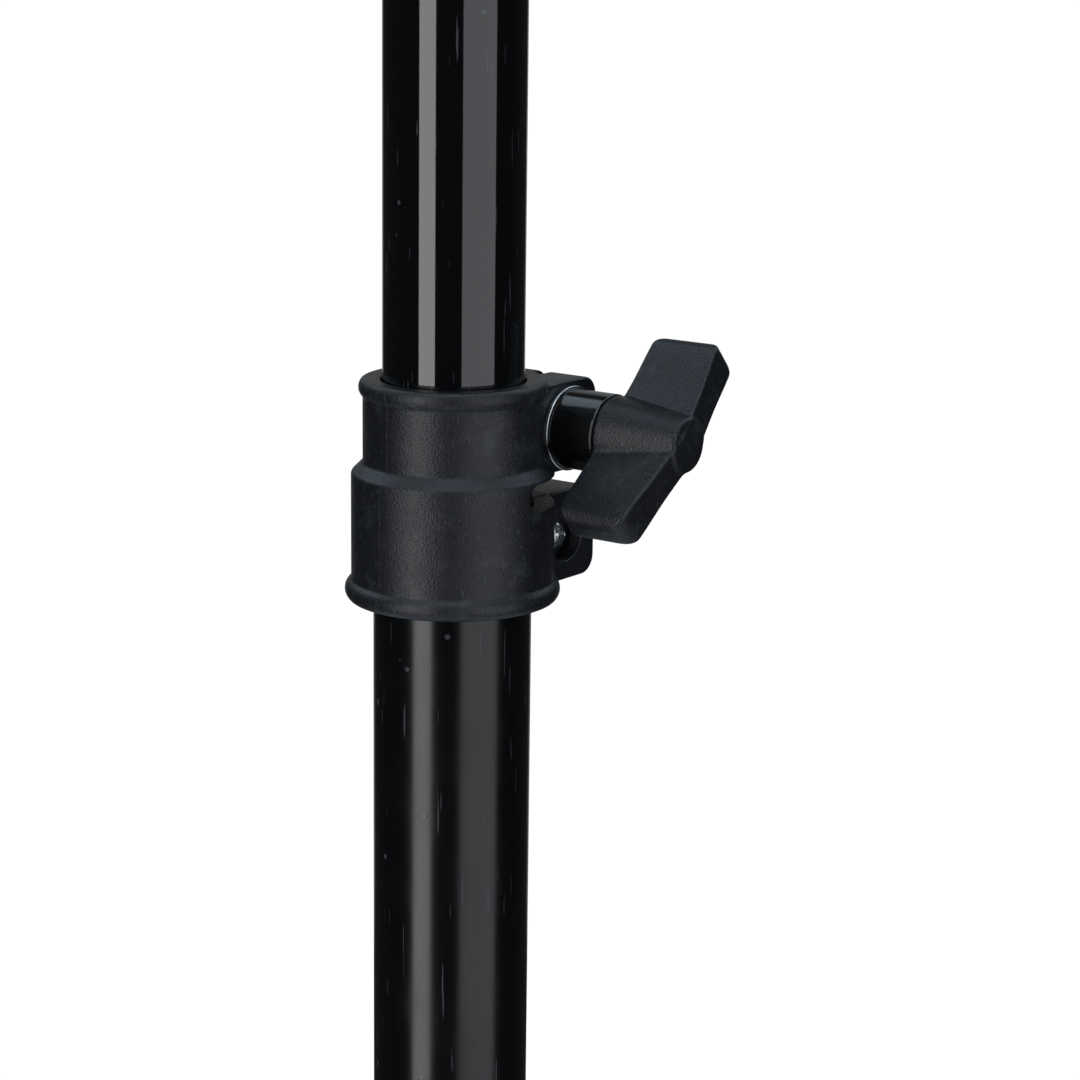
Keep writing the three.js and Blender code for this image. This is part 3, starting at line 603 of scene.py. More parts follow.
def threaded_rod(low, high, thread_to):
    """A bolt's shank with chamfered ends and a helical rolled thread from `low` to `thread_to`."""
    radius, pitch, chamfer = BOLT["radius"], BOLT["pitch"], BOLT["chamfer"]
    sides = 40
    plain_step = 1.5
    heights = [low]
    while heights[-1] < high - 1e-6:
        step = pitch / 8 if heights[-1] < thread_to + pitch else plain_step
        heights.append(min(high, heights[-1] + step))
    rings = []
    for z in heights:
        run_in = min(1, max(0, (z - low) / pitch), max(0, (thread_to - z) / pitch))
        ring = []
        for k in range(sides):
            angle = 2 * math.pi * k / sides
            groove = abs(2 * ((z / pitch - k / sides) % 1) - 1)
            r = radius - BOLT["thread_depth"] * run_in * max(0, 1.35 * groove - 0.35)
            r = min(r, radius - chamfer + min(z - low, high - z, chamfer))
            ring.append((r * math.cos(angle), r * math.sin(angle), z))
        rings.append(ring)
    return stacked(rings)


def rivet(grip, radius=PIN["radius"], head=PIN["head"], crest=PIN["crest"]):
    """A pin with a shallow domed head at both ends."""
    seat = grip / 2 + FIT
    dome = [(head * math.sin(a), seat + crest * (0.22 + 0.78 * math.cos(a))) for a in np.linspace(0, 1.5, 9)]
    upper = [(radius, seat), (head - 0.2, seat), (head, seat + 0.12), *reversed(dome[1:])]
    lower = [(r, -z) for r, z in reversed(upper)]
    return spun([(0, -seat - crest), *lower, *upper, (0, seat + crest)], sides=48)


def cross_screw(length, head, height):
    """A pan-head screw: its head stands on z = 0 and has a cross recess."""
    ball = (head ** 2 + height ** 2) / (2 * height) * 1.25
    depth = height - 0.45 * head

    def field(x, y, z):
        r = np.hypot(x, y)
        dome = np.hypot(r, z - height + ball) - ball
        body = meet(meet(r - head, slab(z, 0, 2 * height), 0.35), dome, 0.3)
        narrow = 0.13 * head + 0.12 * (z - depth)
        arm = 0.5 * head - 0.3 * (height - z)
        u, v = abs(x), abs(y)
        cross = np.minimum(np.maximum(u - narrow, v - arm), np.maximum(v - narrow, u - arm))
        cross = np.maximum(cross, depth - z)
        shank = meet(r - SCREW_RADIUS, slab(z, -length, 0.5))
        return join(cut(body, cross, 0.08), shank, 0.1)

    reach = head + 0.2
    return meshed(field, (-reach, -reach, -length), (reach, reach, height), head / 32)


def wing_knob_field(x, y, z):
    """The hub about +Z and two wings along X, a little thicker towards their tips."""
    r = np.hypot(x, y)
    base, end, length, reach = (KNOB[k] for k in ("base", "end", "length", "reach"))
    taper = math.degrees(math.atan((base - end) / length))
    hub = meet(half_plane(r, z, (base, 0), 90 - taper), slab(z, 0, length), 0.6)
    across = np.abs(x)
    ramp = np.clip((across - 9) / 10, 0, 1)
    half_thickness = KNOB["half_thickness"] + KNOB["swell"] * ramp * ramp * (3 - 2 * ramp)
    section = meet(across - reach, np.abs(y) - half_thickness, 2.8)
    slope = math.degrees(math.atan((length - KNOB["tip"]) / (reach - end)))
    face = meet(slab(z, 0, 2 * length), half_plane(across, z, (end, length - 0.35), slope), 0.5)
    face = meet(face, across - reach, 3.0)
    body = join(hub, meet(section, face, 0.45), 0.6)
    bore = meet(r - BOLT["radius"] - CAD_GAP / 2, z - KNOB["bolt_depth"] - CAD_GAP)
    return cut(body, bore, 0.3)


def wing_knob():
    reach, half_depth = KNOB["reach"], 7.5
    return meshed(wing_knob_field, (-reach, -half_depth, 0), (reach, half_depth, KNOB["length"]),
                  *MESHING["knob"])


def add_knob(kind, axes, knob, seat, start, thread_to, turn=0):
    """A wing knob whose moulded-in bolt runs along +Z from `start`."""
    knob_axes = axes @ moved(z=seat) @ turned_about("Z", turn)
    add_piece(f"{kind}_knob_moulding", f"{kind}_knob", knob, knob_axes, MOULDED_PLASTIC, f"{kind}_knob")
    bolt = threaded_rod(start, seat + KNOB["bolt_depth"], thread_to)
    add_piece(f"{kind}_bolt_shank", f"{kind}_bolt", bolt, axes, ZINC_STEEL, f"{kind}_knob")


def add_nut(kind, axes, height, body):
    nut = hex_nut(NUT, BOLT["radius"])
    add_piece(f"{kind}_nut_hex", f"{kind}_nut", nut, axes @ moved(z=height), ZINC_STEEL, body)


# ---- mast and clamp collar


def bead(r, z, radius, height, bulge, span):
    """A half-round band that stands `bulge` proud of a ring."""
    curve = (span ** 2 / 4 + bulge ** 2) / (2 * bulge)
    return np.hypot(r - (radius + bulge - curve), z - height) - curve


def clamp_rings(x, y, z):
    """Two rings with a shoulder between them and a band at each end, parted at the back by a level slot."""
    r = np.hypot(x, y)
    lower_radius, upper_radius, height = (COLLAR[k] for k in ("lower_radius", "upper_radius", "height"))
    shoulder = half_plane(r, z, (lower_radius, COLLAR["shoulder"]), 45)
    lower = meet(meet(r - lower_radius, shoulder, 0.25), -z, 0.5)
    upper = meet(r - upper_radius, slab(z, 0, height), 0.5)
    rings = join(lower, upper, 0.25)
    bulge, span = COLLAR["lower_bead"]
    rings = join(rings, bead(r, z, lower_radius, span / 2, bulge, span), 0.2)
    bulge, span = COLLAR["upper_bead"]
    rings = join(rings, bead(r, z, upper_radius, height - span / 2, bulge, span), 0.2)
    rings = meet(rings, slab(z, 0, height), 0.3)
    seam = np.where(y < 0, SEAM["height"] * np.exp(-((x - SEAM["x"]) / SEAM["half_width"]) ** 2), 0)
    parting = meet(PARTING["front"] - y, slab(z, PARTING["bottom"], PARTING["top"]), PARTING["round"])
    return cut(rings - seam, parting, 0.3)


def clamp_lugs(x, y, z):
    """An upper and a lower pair of lugs, before the slot divides them."""
    thick = slab(x, -LUG["half_width"], LUG["half_width"])
    sides = [meet(slab(z, *LUG[which]), y - LUG["reach"], LUG["corner"]) for which in ("upper", "lower")]
    lugs = np.minimum(*[meet(side, thick, 0.5) for side in sides])
    return np.maximum(lugs, LUG_ROOT - y)


def collar_field(x, y, z):
    r = np.hypot(x, y)
    face = LUG["half_width"]
    body = join(clamp_rings(x, y, z), clamp_lugs(x, y, z), 0.6)
    bolt_y, bolt_z = y - CLAMP_BOLT["offset"], z - CLAMP_BOLT["height"]
    body = cut(body, meet(disc(bolt_y, bolt_z, CLAMP_BOLT["spot_face"]), face + CLOSE - x), 0.3)
    body = cut(body, meet(r - LOWER_TUBE["outer"] - CAD_GAP / 2, z - COLLAR["step"]), 0.3)
    body = cut(body, r - UPPER_TUBE["outer"] - CAD_GAP, 0.45)
    body = cut(body, np.maximum(np.abs(x) - COLLAR["slot"] / 2, -y), 0.35)
    body = cut(body, disc(bolt_y, bolt_z, BOLT_HOLE), 0.2)
    nut_pocket = hexagon(bolt_z, bolt_y, NUT[0] + 2 * CAD_GAP)
    nut_floor = face - NUT[1] + 0.4
    body = cut(body, np.maximum(nut_pocket, x + nut_floor), 0.25)
    screw_y, screw_z = y - COLLAR_SCREW["offset"], z - COLLAR_SCREW["height"]
    recess = disc(screw_y, screw_z, COLLAR_SCREW["recess"])
    body = cut(body, meet(recess, face - COLLAR_SCREW["depth"] - x, 0.3), 0.35)
    body = cut(body, disc(screw_y, screw_z, SCREW_HOLE))
    small_pocket = hexagon(screw_z, screw_y, SMALL_NUT[0] + 2 * CAD_GAP)
    small_floor = face - SMALL_NUT[1] - CAD_GAP
    return cut(body, np.maximum(small_pocket, x + small_floor), 0.25)


def tube(size, low, high):
    inner, outer = size["inner"], size["outer"]
    corners = [(inner, low, 0.3), (outer, low, 0.35), (outer, high, 0.35), (inner, high, 0.3)]
    return spun(rounded_path(corners), sides=160)


def node_span(node):
    """The lowest and highest point of a CAD node, in millimetres."""
    low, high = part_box(node)
    return low.z / MM, high.z / MM


def build_mast():
    lower = tube(LOWER_TUBE, *node_span("lower_tube"))
    add_piece("lower_tube_skin", "lower_tube", lower, MAST, SATIN_TUBE, "base")
    upper = tube(UPPER_TUBE, *node_span("upper_tube"))
    add_piece("upper_tube_skin", "upper_tube", upper, MAST, GLOSS_PAINT, "mast")
    low, high = node_span("guide_bush")
    seat = node_span("upper_tube")[0] - CAD_GAP
    inner, outer, neck = BUSH["inner"], BUSH["outer"], UPPER_TUBE["inner"] - CAD_GAP
    corners = [(inner, low, 0.5), (outer, low, 0.5), (outer, seat, 0.3), (neck, seat, 0.2), (neck, high, 0.8),
               (inner, high, 0.4)]
    bush = spun(rounded_path(corners), sides=96)
    add_piece("guide_bush_moulding", "guide_bush", bush, MAST, NYLON, "guide_bush")


def build_collar():
    reach = COLLAR["lower_radius"] + COLLAR["lower_bead"][0]
    high = (reach, LUG["reach"], COLLAR["height"])
    body = meshed(collar_field, (-reach, -reach, 0), high, *MESHING["collar"])
    add_piece("collar_moulding", "clamp_collar", body, COLLAR_AXES, MOULDED_PLASTIC, "base")
    screw_axes = COLLAR_AXES @ moved(y=COLLAR_SCREW["offset"], z=COLLAR_SCREW["height"]) @ ALONG_X
    face = LUG["half_width"]
    seat = face - COLLAR_SCREW["depth"]
    screw = cross_screw(seat + face, COLLAR_SCREW["head"], COLLAR_SCREW["crest"])
    head_axes, nut_axes = screw_axes @ moved(z=seat + FIT), screw_axes @ moved(z=-face)
    add_piece("collar_screw_head", "collar_screw", screw, head_axes, ZINC_STEEL, "base")
    nut = hex_nut(SMALL_NUT, SCREW_RADIUS)
    add_piece("collar_screw_hex", "collar_screw_nut", nut, nut_axes, ZINC_STEEL, "base")


def build_clamp(knob):
    face = LUG["half_width"]
    seat = face + FIT
    steel = washer(WASHER["radius"], WASHER["seen"], 0.15)
    washer_axes = CLAMP_AXES @ moved(z=seat)
    add_piece("clamp_washer_disc", "clamp_washer", steel, washer_axes, ZINC_STEEL, "clamp_washer")
    knob_seat = face + 3 * CAD_GAP + WASHER["thickness"] + SLEEVE["length"]
    low, high = seat + WASHER["seen"] + FIT, knob_seat - FIT
    hole, radius = BOLT["radius"] + CLOSE, SLEEVE["radius"]
    corners = [(hole, low, 0.2), (radius, low, 0.3), (radius, high, 0.35), (hole, high, 0.2)]
    sleeve = spun(rounded_path(corners), sides=128)
    add_piece("clamp_sleeve_gloss", "clamp_sleeve", sleeve, CLAMP_AXES, GLOSS_PLASTIC, "clamp_knob")
    start = -face - CLAMP_BOLT["behind"]
    add_knob("clamp", CLAMP_AXES, knob, knob_seat, start, start + CLAMP_BOLT["thread"], 90 + CLAMP_WING_ANGLE)
    add_nut("clamp", CLAMP_AXES, -face - CLAMP_BOLT["nut_out"], "base")


# ---- folding base


def crown_field(x, y, z):
    """The sliding ring with a forked lug for each leg, and the boss of its lock knob towards +Y."""
    r = np.hypot(x, y)
    body = meet(r - RING_RADIUS, slab(z, -CROWN["below"], CROWN["above"]), 1.2)
    inner = LEG["width"] / 2 + CAD_GAP
    for azimuth in LEG_AZIMUTHS:
        out, across = turned_plane(x, y, azimuth)
        side = bar(out, z, 10, PIVOT_RADIUS, CROWN["round"])
        lug = meet(side, slab(np.abs(across), inner, inner + CROWN["lug"]), 0.6)
        body = join(body, np.maximum(lug, LUG_ROOT - out), 1.3)
    lock_z = z - CROWN["rise"]
    body = join(body, meet(disc(x, lock_z, CROWN["boss"]), slab(y, 10, CROWN["boss_end"]), 0.7), 1.3)
    for azimuth in LEG_AZIMUTHS:
        out, across = turned_plane(x, y, azimuth)
        room = meet(slab(across, -inner, inner), RING_RADIUS + 0.4 - out)
        body = cut(body, np.maximum(room, -out), 0.25)
        body = cut(body, meet(disc(out - PIVOT_RADIUS, z, PIN["radius"] + CAD_GAP), -out))
    pocket_floor = CROWN["boss_end"] - NUT[1] - CAD_GAP
    body = cut(body, np.maximum(hexagon(x, lock_z, NUT[0] + 2 * CAD_GAP), pocket_floor - y), 0.25)
    body = cut(body, np.maximum(disc(x, lock_z, BOLT_HOLE), 5 - y))
    return cut(body, r - LOWER_TUBE["outer"] - CAD_GAP, 0.5)


def hub_field(x, y, z):
    """The fixed ring at the lower tube's foot, with a lug for each strut."""
    r = np.hypot(x, y)
    body = meet(r - RING_RADIUS, slab(z, HUB["bottom"], HUB["top"]), 1.2)
    for azimuth in LEG_AZIMUTHS:
        out, across = turned_plane(x, y, azimuth)
        side = bar(out, z - HUB_Z, 10, PIVOT_RADIUS, HUB["round"])
        lug = meet(side, slab(across, -LEG["width"] / 2, LEG["width"] / 2), 0.8)
        body = join(body, np.maximum(lug, LUG_ROOT - out), 1.4)
        body = cut(body, np.maximum(disc(out - PIVOT_RADIUS, z - HUB_Z, PIN["radius"] + CAD_GAP), -out))
    bore = meet(r - LOWER_TUBE["outer"] - CAD_GAP, HUB["bottom"] + HUB["floor"] - z)
    body = cut(body, bore, 0.5)
    return cut(body, np.maximum(disc(x, z - HUB["screw"], SCREW_HOLE), 5 - y))


def leg_tube():
    """A flat-oval tube along +Z from its top pivot, its top end rounded about the pivot."""
    length, width, depth, wall = LEG["length"], LEG["width"], LEG["depth"], LEG["wall"]

    def section(shrink):
        across, flat = width / 2 - shrink, depth / 2 - width / 2
        angles = np.linspace(-math.pi / 2, math.pi / 2, 17)
        right = [(flat + across * math.cos(a), across * math.sin(a)) for a in angles]
        straight = [(flat * (1 - 2 * k / 8), across) for k in range(1, 8)]
        half = right + straight
        return half + [(-u, -v) for u, v in half]

    def top_end(u):
        return -math.sqrt(max(0.0, (depth / 2) ** 2 - min(abs(u), depth / 2) ** 2))

    def ring_at(share, shrink):
        """A ring that share of the way from the rounded top to the square end."""
        return [(u, v, top_end(u) * (1 - share) + length * share) for u, v in section(shrink)]

    rim = 0.3
    middle = wall / 2
    turn = np.linspace(0, math.pi, 7)
    edge = [(middle - middle * math.cos(a), rim * (1 - math.sin(a))) for a in turn]
    shares = np.linspace(0, 1, 30)[1:-1]
    rings = [[(u, v, top_end(u) + lift) for u, v in section(shrink)] for shrink, lift in edge]
    rings += [ring_at(share, wall) for share in shares]
    rings += [[(u, v, length - lift) for u, v in section(shrink)] for shrink, lift in reversed(edge)]
    rings += [ring_at(share, 0) for share in reversed(shares)]
    return stacked(rings, closed=True)


def strut_field(x, y, z):
    """A folded channel along +Z, its open side facing +X."""
    half, inner, sheet, end = (STRUT[k] for k in ("half_depth", "inner", "sheet", "web_end"))
    sides = meet(bar(z, x, 0, STRUT_LENGTH, half), np.abs(y) - inner - sheet)
    shell = meet(meet(-half - x, slab(y, -inner - sheet, inner + sheet), STRUT["fold"]), sides, 0.3)
    hollow = meet(-half + sheet - x, slab(y, -inner, inner), 0.8)
    body = cut(shell, hollow, 0.25)
    beyond = 60
    for low, high in ((-beyond, end - half), (STRUT_LENGTH - end + half, STRUT_LENGTH + beyond)):
        mouth = np.maximum(slab(y, -inner, inner), bar(z, x + half, low, high, half))
        body = cut(body, mouth, 0.3)
    return body


def boot_field(x, y, z):
    """A rubber boot on the leg's end, in the leg's own axes, cut level where it meets the floor."""
    length = LEG["length"]
    half_width = LEG["width"] / 2 + CAD_GAP + FOOT["wall"]
    half_depth = LEG["depth"] / 2 + CAD_GAP + FOOT["wall"]
    top, bottom = length - FOOT["overlap"], length + FOOT["cap"]
    flare = math.degrees(math.atan2(FOOT["sole"] - half_depth, FOOT["overlap"] - 3))
    profile = meet(-half_depth - x, slab(z, top, bottom), 2.5)
    profile = meet(profile, half_plane(x, -z, (half_depth, -top), 90 - flare))
    profile = meet(profile, x - FOOT["sole"], 3.0)
    floor_turn = math.pi - SPREAD
    height = CROWN_Z + z * math.cos(floor_turn) - x * math.sin(floor_turn)
    profile = meet(profile, -height, 1.2)
    body = meet(profile, np.abs(y) - half_width, 2.4)
    proud = FOOT["cuff"]
    cuff = meet(np.abs(x) - half_depth - proud, np.abs(y) - half_width - proud, 3)
    body = join(body, meet(cuff, slab(z, top, top + FOOT["cuff_height"]), 0.9), 0.5)
    flat = (LEG["depth"] - LEG["width"]) / 2
    pocket = np.maximum(bar(x, y, -flat, flat, LEG["width"] / 2 + CLOSE), z - length - CLOSE)
    return cut(body, pocket, 0.5)


def build_base():
    reach = PIVOT_RADIUS + CROWN["round"]
    high = (reach, reach, CROWN["above"])
    crown = meshed(crown_field, (-reach, -reach, -CROWN["below"]), high, *MESHING["crown"])
    add_piece("leg_crown_moulding", "leg_crown", crown, CROWN_AXES, MOULDED_PLASTIC, "crown")
    reach = PIVOT_RADIUS + HUB["round"]
    high = (reach, reach, HUB["top"])
    hub = meshed(hub_field, (-reach, -reach, HUB["bottom"]), high, *MESHING["hub"])
    add_piece("leg_hub_moulding", "leg_hub", hub, MAST, MOULDED_PLASTIC, "base")
    screw_axes = MAST @ moved(y=RING_RADIUS + FIT, z=HUB["screw"]) @ ALONG_Y
    add_piece("hub_screw_head", "hub_screw", cross_screw(8, *PAN_HEAD), screw_axes, ZINC_STEEL, "base")
    build_legs()


def build_legs():
    leg = leg_tube()
    half, side = STRUT["half_depth"] + 0.5, STRUT["inner"] + STRUT["sheet"] + 0.2
    strut = meshed(strut_field, (-half, -side, -half), (half, side, STRUT_LENGTH + half), *MESHING["strut"])
    low = (-13, -10, LEG["length"] - FOOT["overlap"])
    high = (FOOT["sole"], 10, LEG["length"] + FOOT["cap"])
    boot = meshed(boot_field, low, high, *MESHING["boot"])
    strut_grip = 2 * (STRUT["inner"] + STRUT["sheet"])
    crown_grip = LEG["width"] + 2 * CAD_GAP + 2 * CROWN["lug"]
    for i in range(3):
        n = i + 1
        leg_place, strut_place = leg_axes(i), strut_axes(i)
        crown_place = spoke(i) @ moved(x=PIVOT_RADIUS, z=CROWN_Z)
        add_piece(f"leg_{n}_tube", f"leg_{n}", leg, leg_place, SATIN_PAINT, f"leg_{n}")
        add_piece(f"foot_{n}_boot", f"foot_{n}", boot, leg_place, RUBBER, f"leg_{n}")
        add_piece(f"strut_{n}_channel", f"strut_{n}", strut, strut_place, SATIN_PAINT, f"strut_{n}")
        pins = [
            ("strut_pin", leg_place @ moved(z=STRUT_LENGTH), strut_grip, f"leg_{n}"),
            ("hub_pin", strut_place, strut_grip, "base"),
            ("crown_pin", crown_place, crown_grip, "crown"),
        ]
        for pin, place, grip, body in pins:
            add_piece(f"{pin}_{n}_rivet", f"{pin}_{n}", rivet(grip), place @ ALONG_Y, BLACK_STEEL, body)


def build_crown_lock(knob):
    low = LOWER_TUBE["outer"] + CAD_GAP
    high = low + PAD["thickness"]
    corners = [(0, low, 0), (PAD["radius"], low, 0.3), (PAD["radius"], high, 0.3), (0, high, 0)]
    pad = spun(rounded_path(corners, closed=False), sides=48)
    add_piece("crown_pad_disc", "crown_pad", pad, LOCK_AXES, NYLON, "crown_pad")
    seat = CROWN["boss_end"] + KNOB["lock_gap"]
    add_knob("crown", LOCK_AXES, knob, seat, high + CAD_GAP, seat + 1)
    add_nut("crown", LOCK_AXES, CROWN["boss_end"] - NUT[1], "crown")


# ---- tilt head and desk


def tilt_head_field(x, y, z):
    """A plug in the upper tube's end with a flange on it, and a flat tongue about the tilt bolt."""
    r = np.hypot(x, y)
    flange, rounded = TILT_HEAD["flange"], TILT_HEAD["round"]
    plug = meet(r - UPPER_TUBE["inner"] + CAD_GAP, slab(z, TILT_HEAD["bottom"], flange), 0.6)
    body = join(plug, meet(r - UPPER_TUBE["outer"], slab(z, TILT_HEAD["seat"], flange), 0.8))
    widening = math.degrees(math.atan((rounded - TILT_HEAD["neck"]) / (TILT_Z - flange)))
    neck = half_plane(np.abs(y), -z, (TILT_HEAD["neck"], -flange), 90 - widening)
    neck = np.maximum(np.maximum(neck, z - TILT_Z), flange - 2 - z)
    tongue = np.minimum(neck, disc(y, z - TILT_Z, rounded))
    tongue = meet(tongue, np.abs(x) - TILT_HEAD["half"], 0.9)
    body = join(body, tongue, 1.2)
    return cut(body, disc(y, z - TILT_Z, BOLT_HOLE), 0.2)


def bracket_field(x, y, z):
    """A plate behind the desk with two ears that straddle the tilt head."""
    front, back = DESK["back"] + CLOSE, DESK["back"] + CAD_GAP + BRACKET["sheet"]
    outline = meet(np.abs(x) - BRACKET["half_width"], np.abs(z) - BRACKET["half_height"], BRACKET["corner"])
    flat = meet(outline, slab(y, front, back), 0.5)
    away = np.abs(z)
    root = DESK["back"] + CAD_GAP + EAR["root"]
    slope = math.atan2(EAR["half_height"] - EAR["round"], -root)
    taper = (away - EAR["round"]) * math.cos(slope) + y * math.sin(slope)
    arm = np.maximum(np.maximum(taper, away - EAR["half_height"]), y)
    ears = np.minimum(arm, disc(y, z, EAR["round"]))
    ears = meet(ears, slab(np.abs(x), EAR["inner"], EAR["outer"]), 0.5)
    ears = np.maximum(ears, front + 1 - y)
    body = join(flat, ears, 1.6)
    return cut(body, disc(y, z, BOLT_HOLE), 0.2)


def tray(outline, sheet, rim, bend):
    """A flat sheet in the (across, up) plane with its edge folded back by `rim`."""
    outline = without_repeats(outline)
    outer, lip, depth = bend + sheet, sheet / 2, sheet + rim
    turn = np.linspace(0, math.pi / 2, 6)
    levels = [(outer * (1 - math.sin(a)), outer * (1 - math.cos(a))) for a in turn]
    levels += [(lip * (1 - math.cos(a)), depth - lip * (1 - math.sin(a))) for a in np.linspace(0, math.pi, 7)]
    levels += [(sheet + bend * (1 - math.cos(a)), sheet + bend * (1 - math.sin(a))) for a in turn]
    return stacked([[(u, v, -h) for u, v in inset(outline, d)] for d, h in levels])


def desk_panel():
    half, top, bottom = DESK["half_width"], DESK["top"], DESK["bottom"]
    upper, lower = DESK["corner"], DESK["lower_corner"]
    corners = [(-half, bottom, lower), (half, bottom, lower), (half, top, upper), (-half, top, upper)]
    panel = tray(rounded_path(corners), DESK["sheet"], DESK["rim"], DESK["bend"])
    return at(moved(y=DESK["front"]) @ FACING_FRONT, panel)


def ledge():
    """A folded sheet, drawn in the (Y, Z) plane: flange behind the panel, shelf, and lip at the front."""
    sheet = DESK["sheet"]
    bottom, front = LEDGE["bottom"], LEDGE["front"]
    shelf, inside = bottom + sheet, front + sheet
    inner = DESK["back"] + CLOSE
    outer = inner + sheet
    top, lip = bottom + LEDGE["flange"], bottom + LEDGE["lip"]
    tip, tight, wide = 0.5, 0.8, 2.0
    corners = [(front, bottom, wide), (outer, bottom, wide), (outer, top, tip), (inner, top, tip),
               (inner, shelf, tight), (inside, shelf, tight), (inside, lip, tip), (front, lip, tip)]
    half = DESK["half_width"] - sheet - LEDGE["end_gap"]
    across = Matrix(((0, 0, 1, 0), (1, 0, 0, 0), (0, 1, 0, 0), (0, 0, 0, 1)))
    return at(across, plate(rounded_path(corners), -half, half, 0.2))


def build_desk(knob):
    reach = TILT_HEAD["round"]
    low, high = (-reach, -reach - 0.2, TILT_HEAD["bottom"]), (reach, reach + 0.2, TILT_Z + reach)
    head = meshed(tilt_head_field, low, high, *MESHING["tilt_head"])
    add_piece("tilt_head_casting", "tilt_head", head, MAST, BLACK_STEEL, "mast")
    pin = rivet(2 * UPPER_TUBE["outer"], SCREW_RADIUS, TILT_RIVET["head"], TILT_RIVET["crest"])
    pin_axes = MAST @ moved(z=TILT_RIVET["height"]) @ ALONG_X
    add_piece("tilt_head_rivet_pin", "tilt_head_rivet", pin, pin_axes, BLACK_STEEL, "mast")
    add_piece("desk_panel_sheet", "desk_panel", desk_panel(), DESK_AXES, DESK_PAINT, "desk")
    add_piece("desk_ledge_sheet", "desk_ledge", ledge(), DESK_AXES, DESK_PAINT, "desk")
    half_x, half_z = BRACKET["half_width"] + 1, BRACKET["half_height"] + 1
    low, high = (-half_x, DESK["back"] - 1, -half_z), (half_x, EAR["round"] + 0.5, half_z)
    bracket = meshed(bracket_field, low, high, *MESHING["bracket"])
    add_piece("desk_bracket_plate", "desk_bracket", bracket, DESK_AXES, SATIN_PAINT, "desk")
    build_desk_screws()
    build_tilt_clamp(knob)


def build_desk_screws():
    screw = cross_screw(6, *PAN_HEAD)
    for kind, places in (("bracket_screw", BRACKET_SCREWS), ("ledge_screw", LEDGE_SCREWS)):
        for n, (across, up) in enumerate(places, start=1):
            place = DESK_AXES @ moved(x=across, y=DESK["front"] - FIT, z=up) @ FACING_FRONT
            add_piece(f"{kind}_{n}_head", f"{kind}_{n}", screw, place, BLACK_STEEL, "desk")


def build_tilt_clamp(knob):
    pad = washer(FRICTION_RADIUS, EAR["inner"] - TILT_HEAD["half"] - 2 * FIT, 0.2)
    for side, height in (("right", TILT_HEAD["half"] + FIT), ("left", -EAR["inner"] + FIT)):
        place = TILT_AXES @ moved(z=height)
        add_piece(f"friction_pad_{side}", f"friction_washer_{side}", pad, place, NYLON, "desk")
    steel = washer(WASHER["radius"], WASHER["thickness"] + 0.4)
    washer_axes = TILT_AXES @ moved(z=EAR["outer"] + FIT)
    add_piece("tilt_washer_disc", "tilt_washer", steel, washer_axes, ZINC_STEEL, "tilt_washer")
    knob_seat = EAR["outer"] + 2 * CAD_GAP + WASHER["thickness"]
    nut_seat = EAR["outer"] + CAD_GAP + NUT[1]
    start = -nut_seat - TILT_BOLT["behind"]
    add_knob("tilt", TILT_AXES, knob, knob_seat, start, start + TILT_BOLT["thread"])
    add_nut("tilt", TILT_AXES, -nut_seat + 0.2, "desk")


# ---- floor, light and camera

VIEW = {"azimuth": 38.2, "down": 13.09, "distance": 0.5138, "yaw": 1.80, "roll": 0.708, "lens": 95.0}
AIM_HEIGHT = 10.7             # of the view's centre above the collar's lower edge, millimetres
SKY = (0.72, 0.88, 1.0)
BACKGROUND = 1.02             # strength of the white that the camera sees
DIM_LIGHT = 0.03              # strength of the even light that reaches the object
FLOOR = {"radius": 1.05, "clear": 0.25, "solid": 0.62, "sides": 128}     # metres, and where it fades


def camera_basis():
    """The camera's place and its right, up and forward directions."""
    azimuth, down, yaw, roll = (math.radians(VIEW[k]) for k in ("azimuth", "down", "yaw", "roll"))
    beside = Vector((math.cos(azimuth), math.sin(azimuth), 0))
    away = Vector((-math.sin(azimuth), math.cos(azimuth), 0))
    up = Vector((0, 0, 1))
    straight = away * math.cos(down) - up * math.sin(down)
    aim = COLLAR_AXES @ Vector((0, 0, AIM_HEIGHT * MM))
    place = aim - straight * VIEW["distance"]
    level = beside * math.sin(yaw) + away * math.cos(yaw)
    forward = (level * math.cos(down) - up * math.sin(down)).normalized()
    right = forward.cross(up).normalized()
    above = right.cross(forward)
    tilted_right = right * math.cos(roll) + above * math.sin(roll)
    tilted_up = above * math.cos(roll) - right * math.sin(roll)
    return place, tilted_right, tilted_up, forward


def add_camera():
    place, right, up, forward = camera_basis()
    data = bpy.data.cameras.new("camera")
    data.lens = VIEW["lens"]
    data.sensor_width = 36.0
    data.clip_start, data.clip_end = 0.01, 50.0
    camera = placed("camera", data)
    columns = Matrix((right, up, -forward)).transposed()
    camera.matrix_world = Matrix.Translation(place) @ columns.to_4x4()
    bpy.context.scene.camera = camera


def add_softbox(name, azimuth, elevation, distance, height, size, radiance, tint):
    """A rectangular light that faces the mast. Azimuth is measured as the camera's is, from -Y."""
    centre = Vector((MAST.translation.x, MAST.translation.y, height))
    a, e = math.radians(azimuth), math.radians(elevation)
    back = Vector((math.sin(a) * math.cos(e), -math.cos(a) * math.cos(e), math.sin(e)))
    data = bpy.data.lights.new(name, "AREA")
    data.shape = "RECTANGLE"
    data.size, data.size_y = size
    data.energy = radiance * math.pi * data.size * data.size_y
    data.color = tint
    lamp = placed(name, data)
    lamp.rotation_mode = "QUATERNION"
    lamp.location = centre + back * distance
    lamp.rotation_quaternion = (-back).to_track_quat("-Z", "Y")
    lamp.visible_camera = False
    return lamp


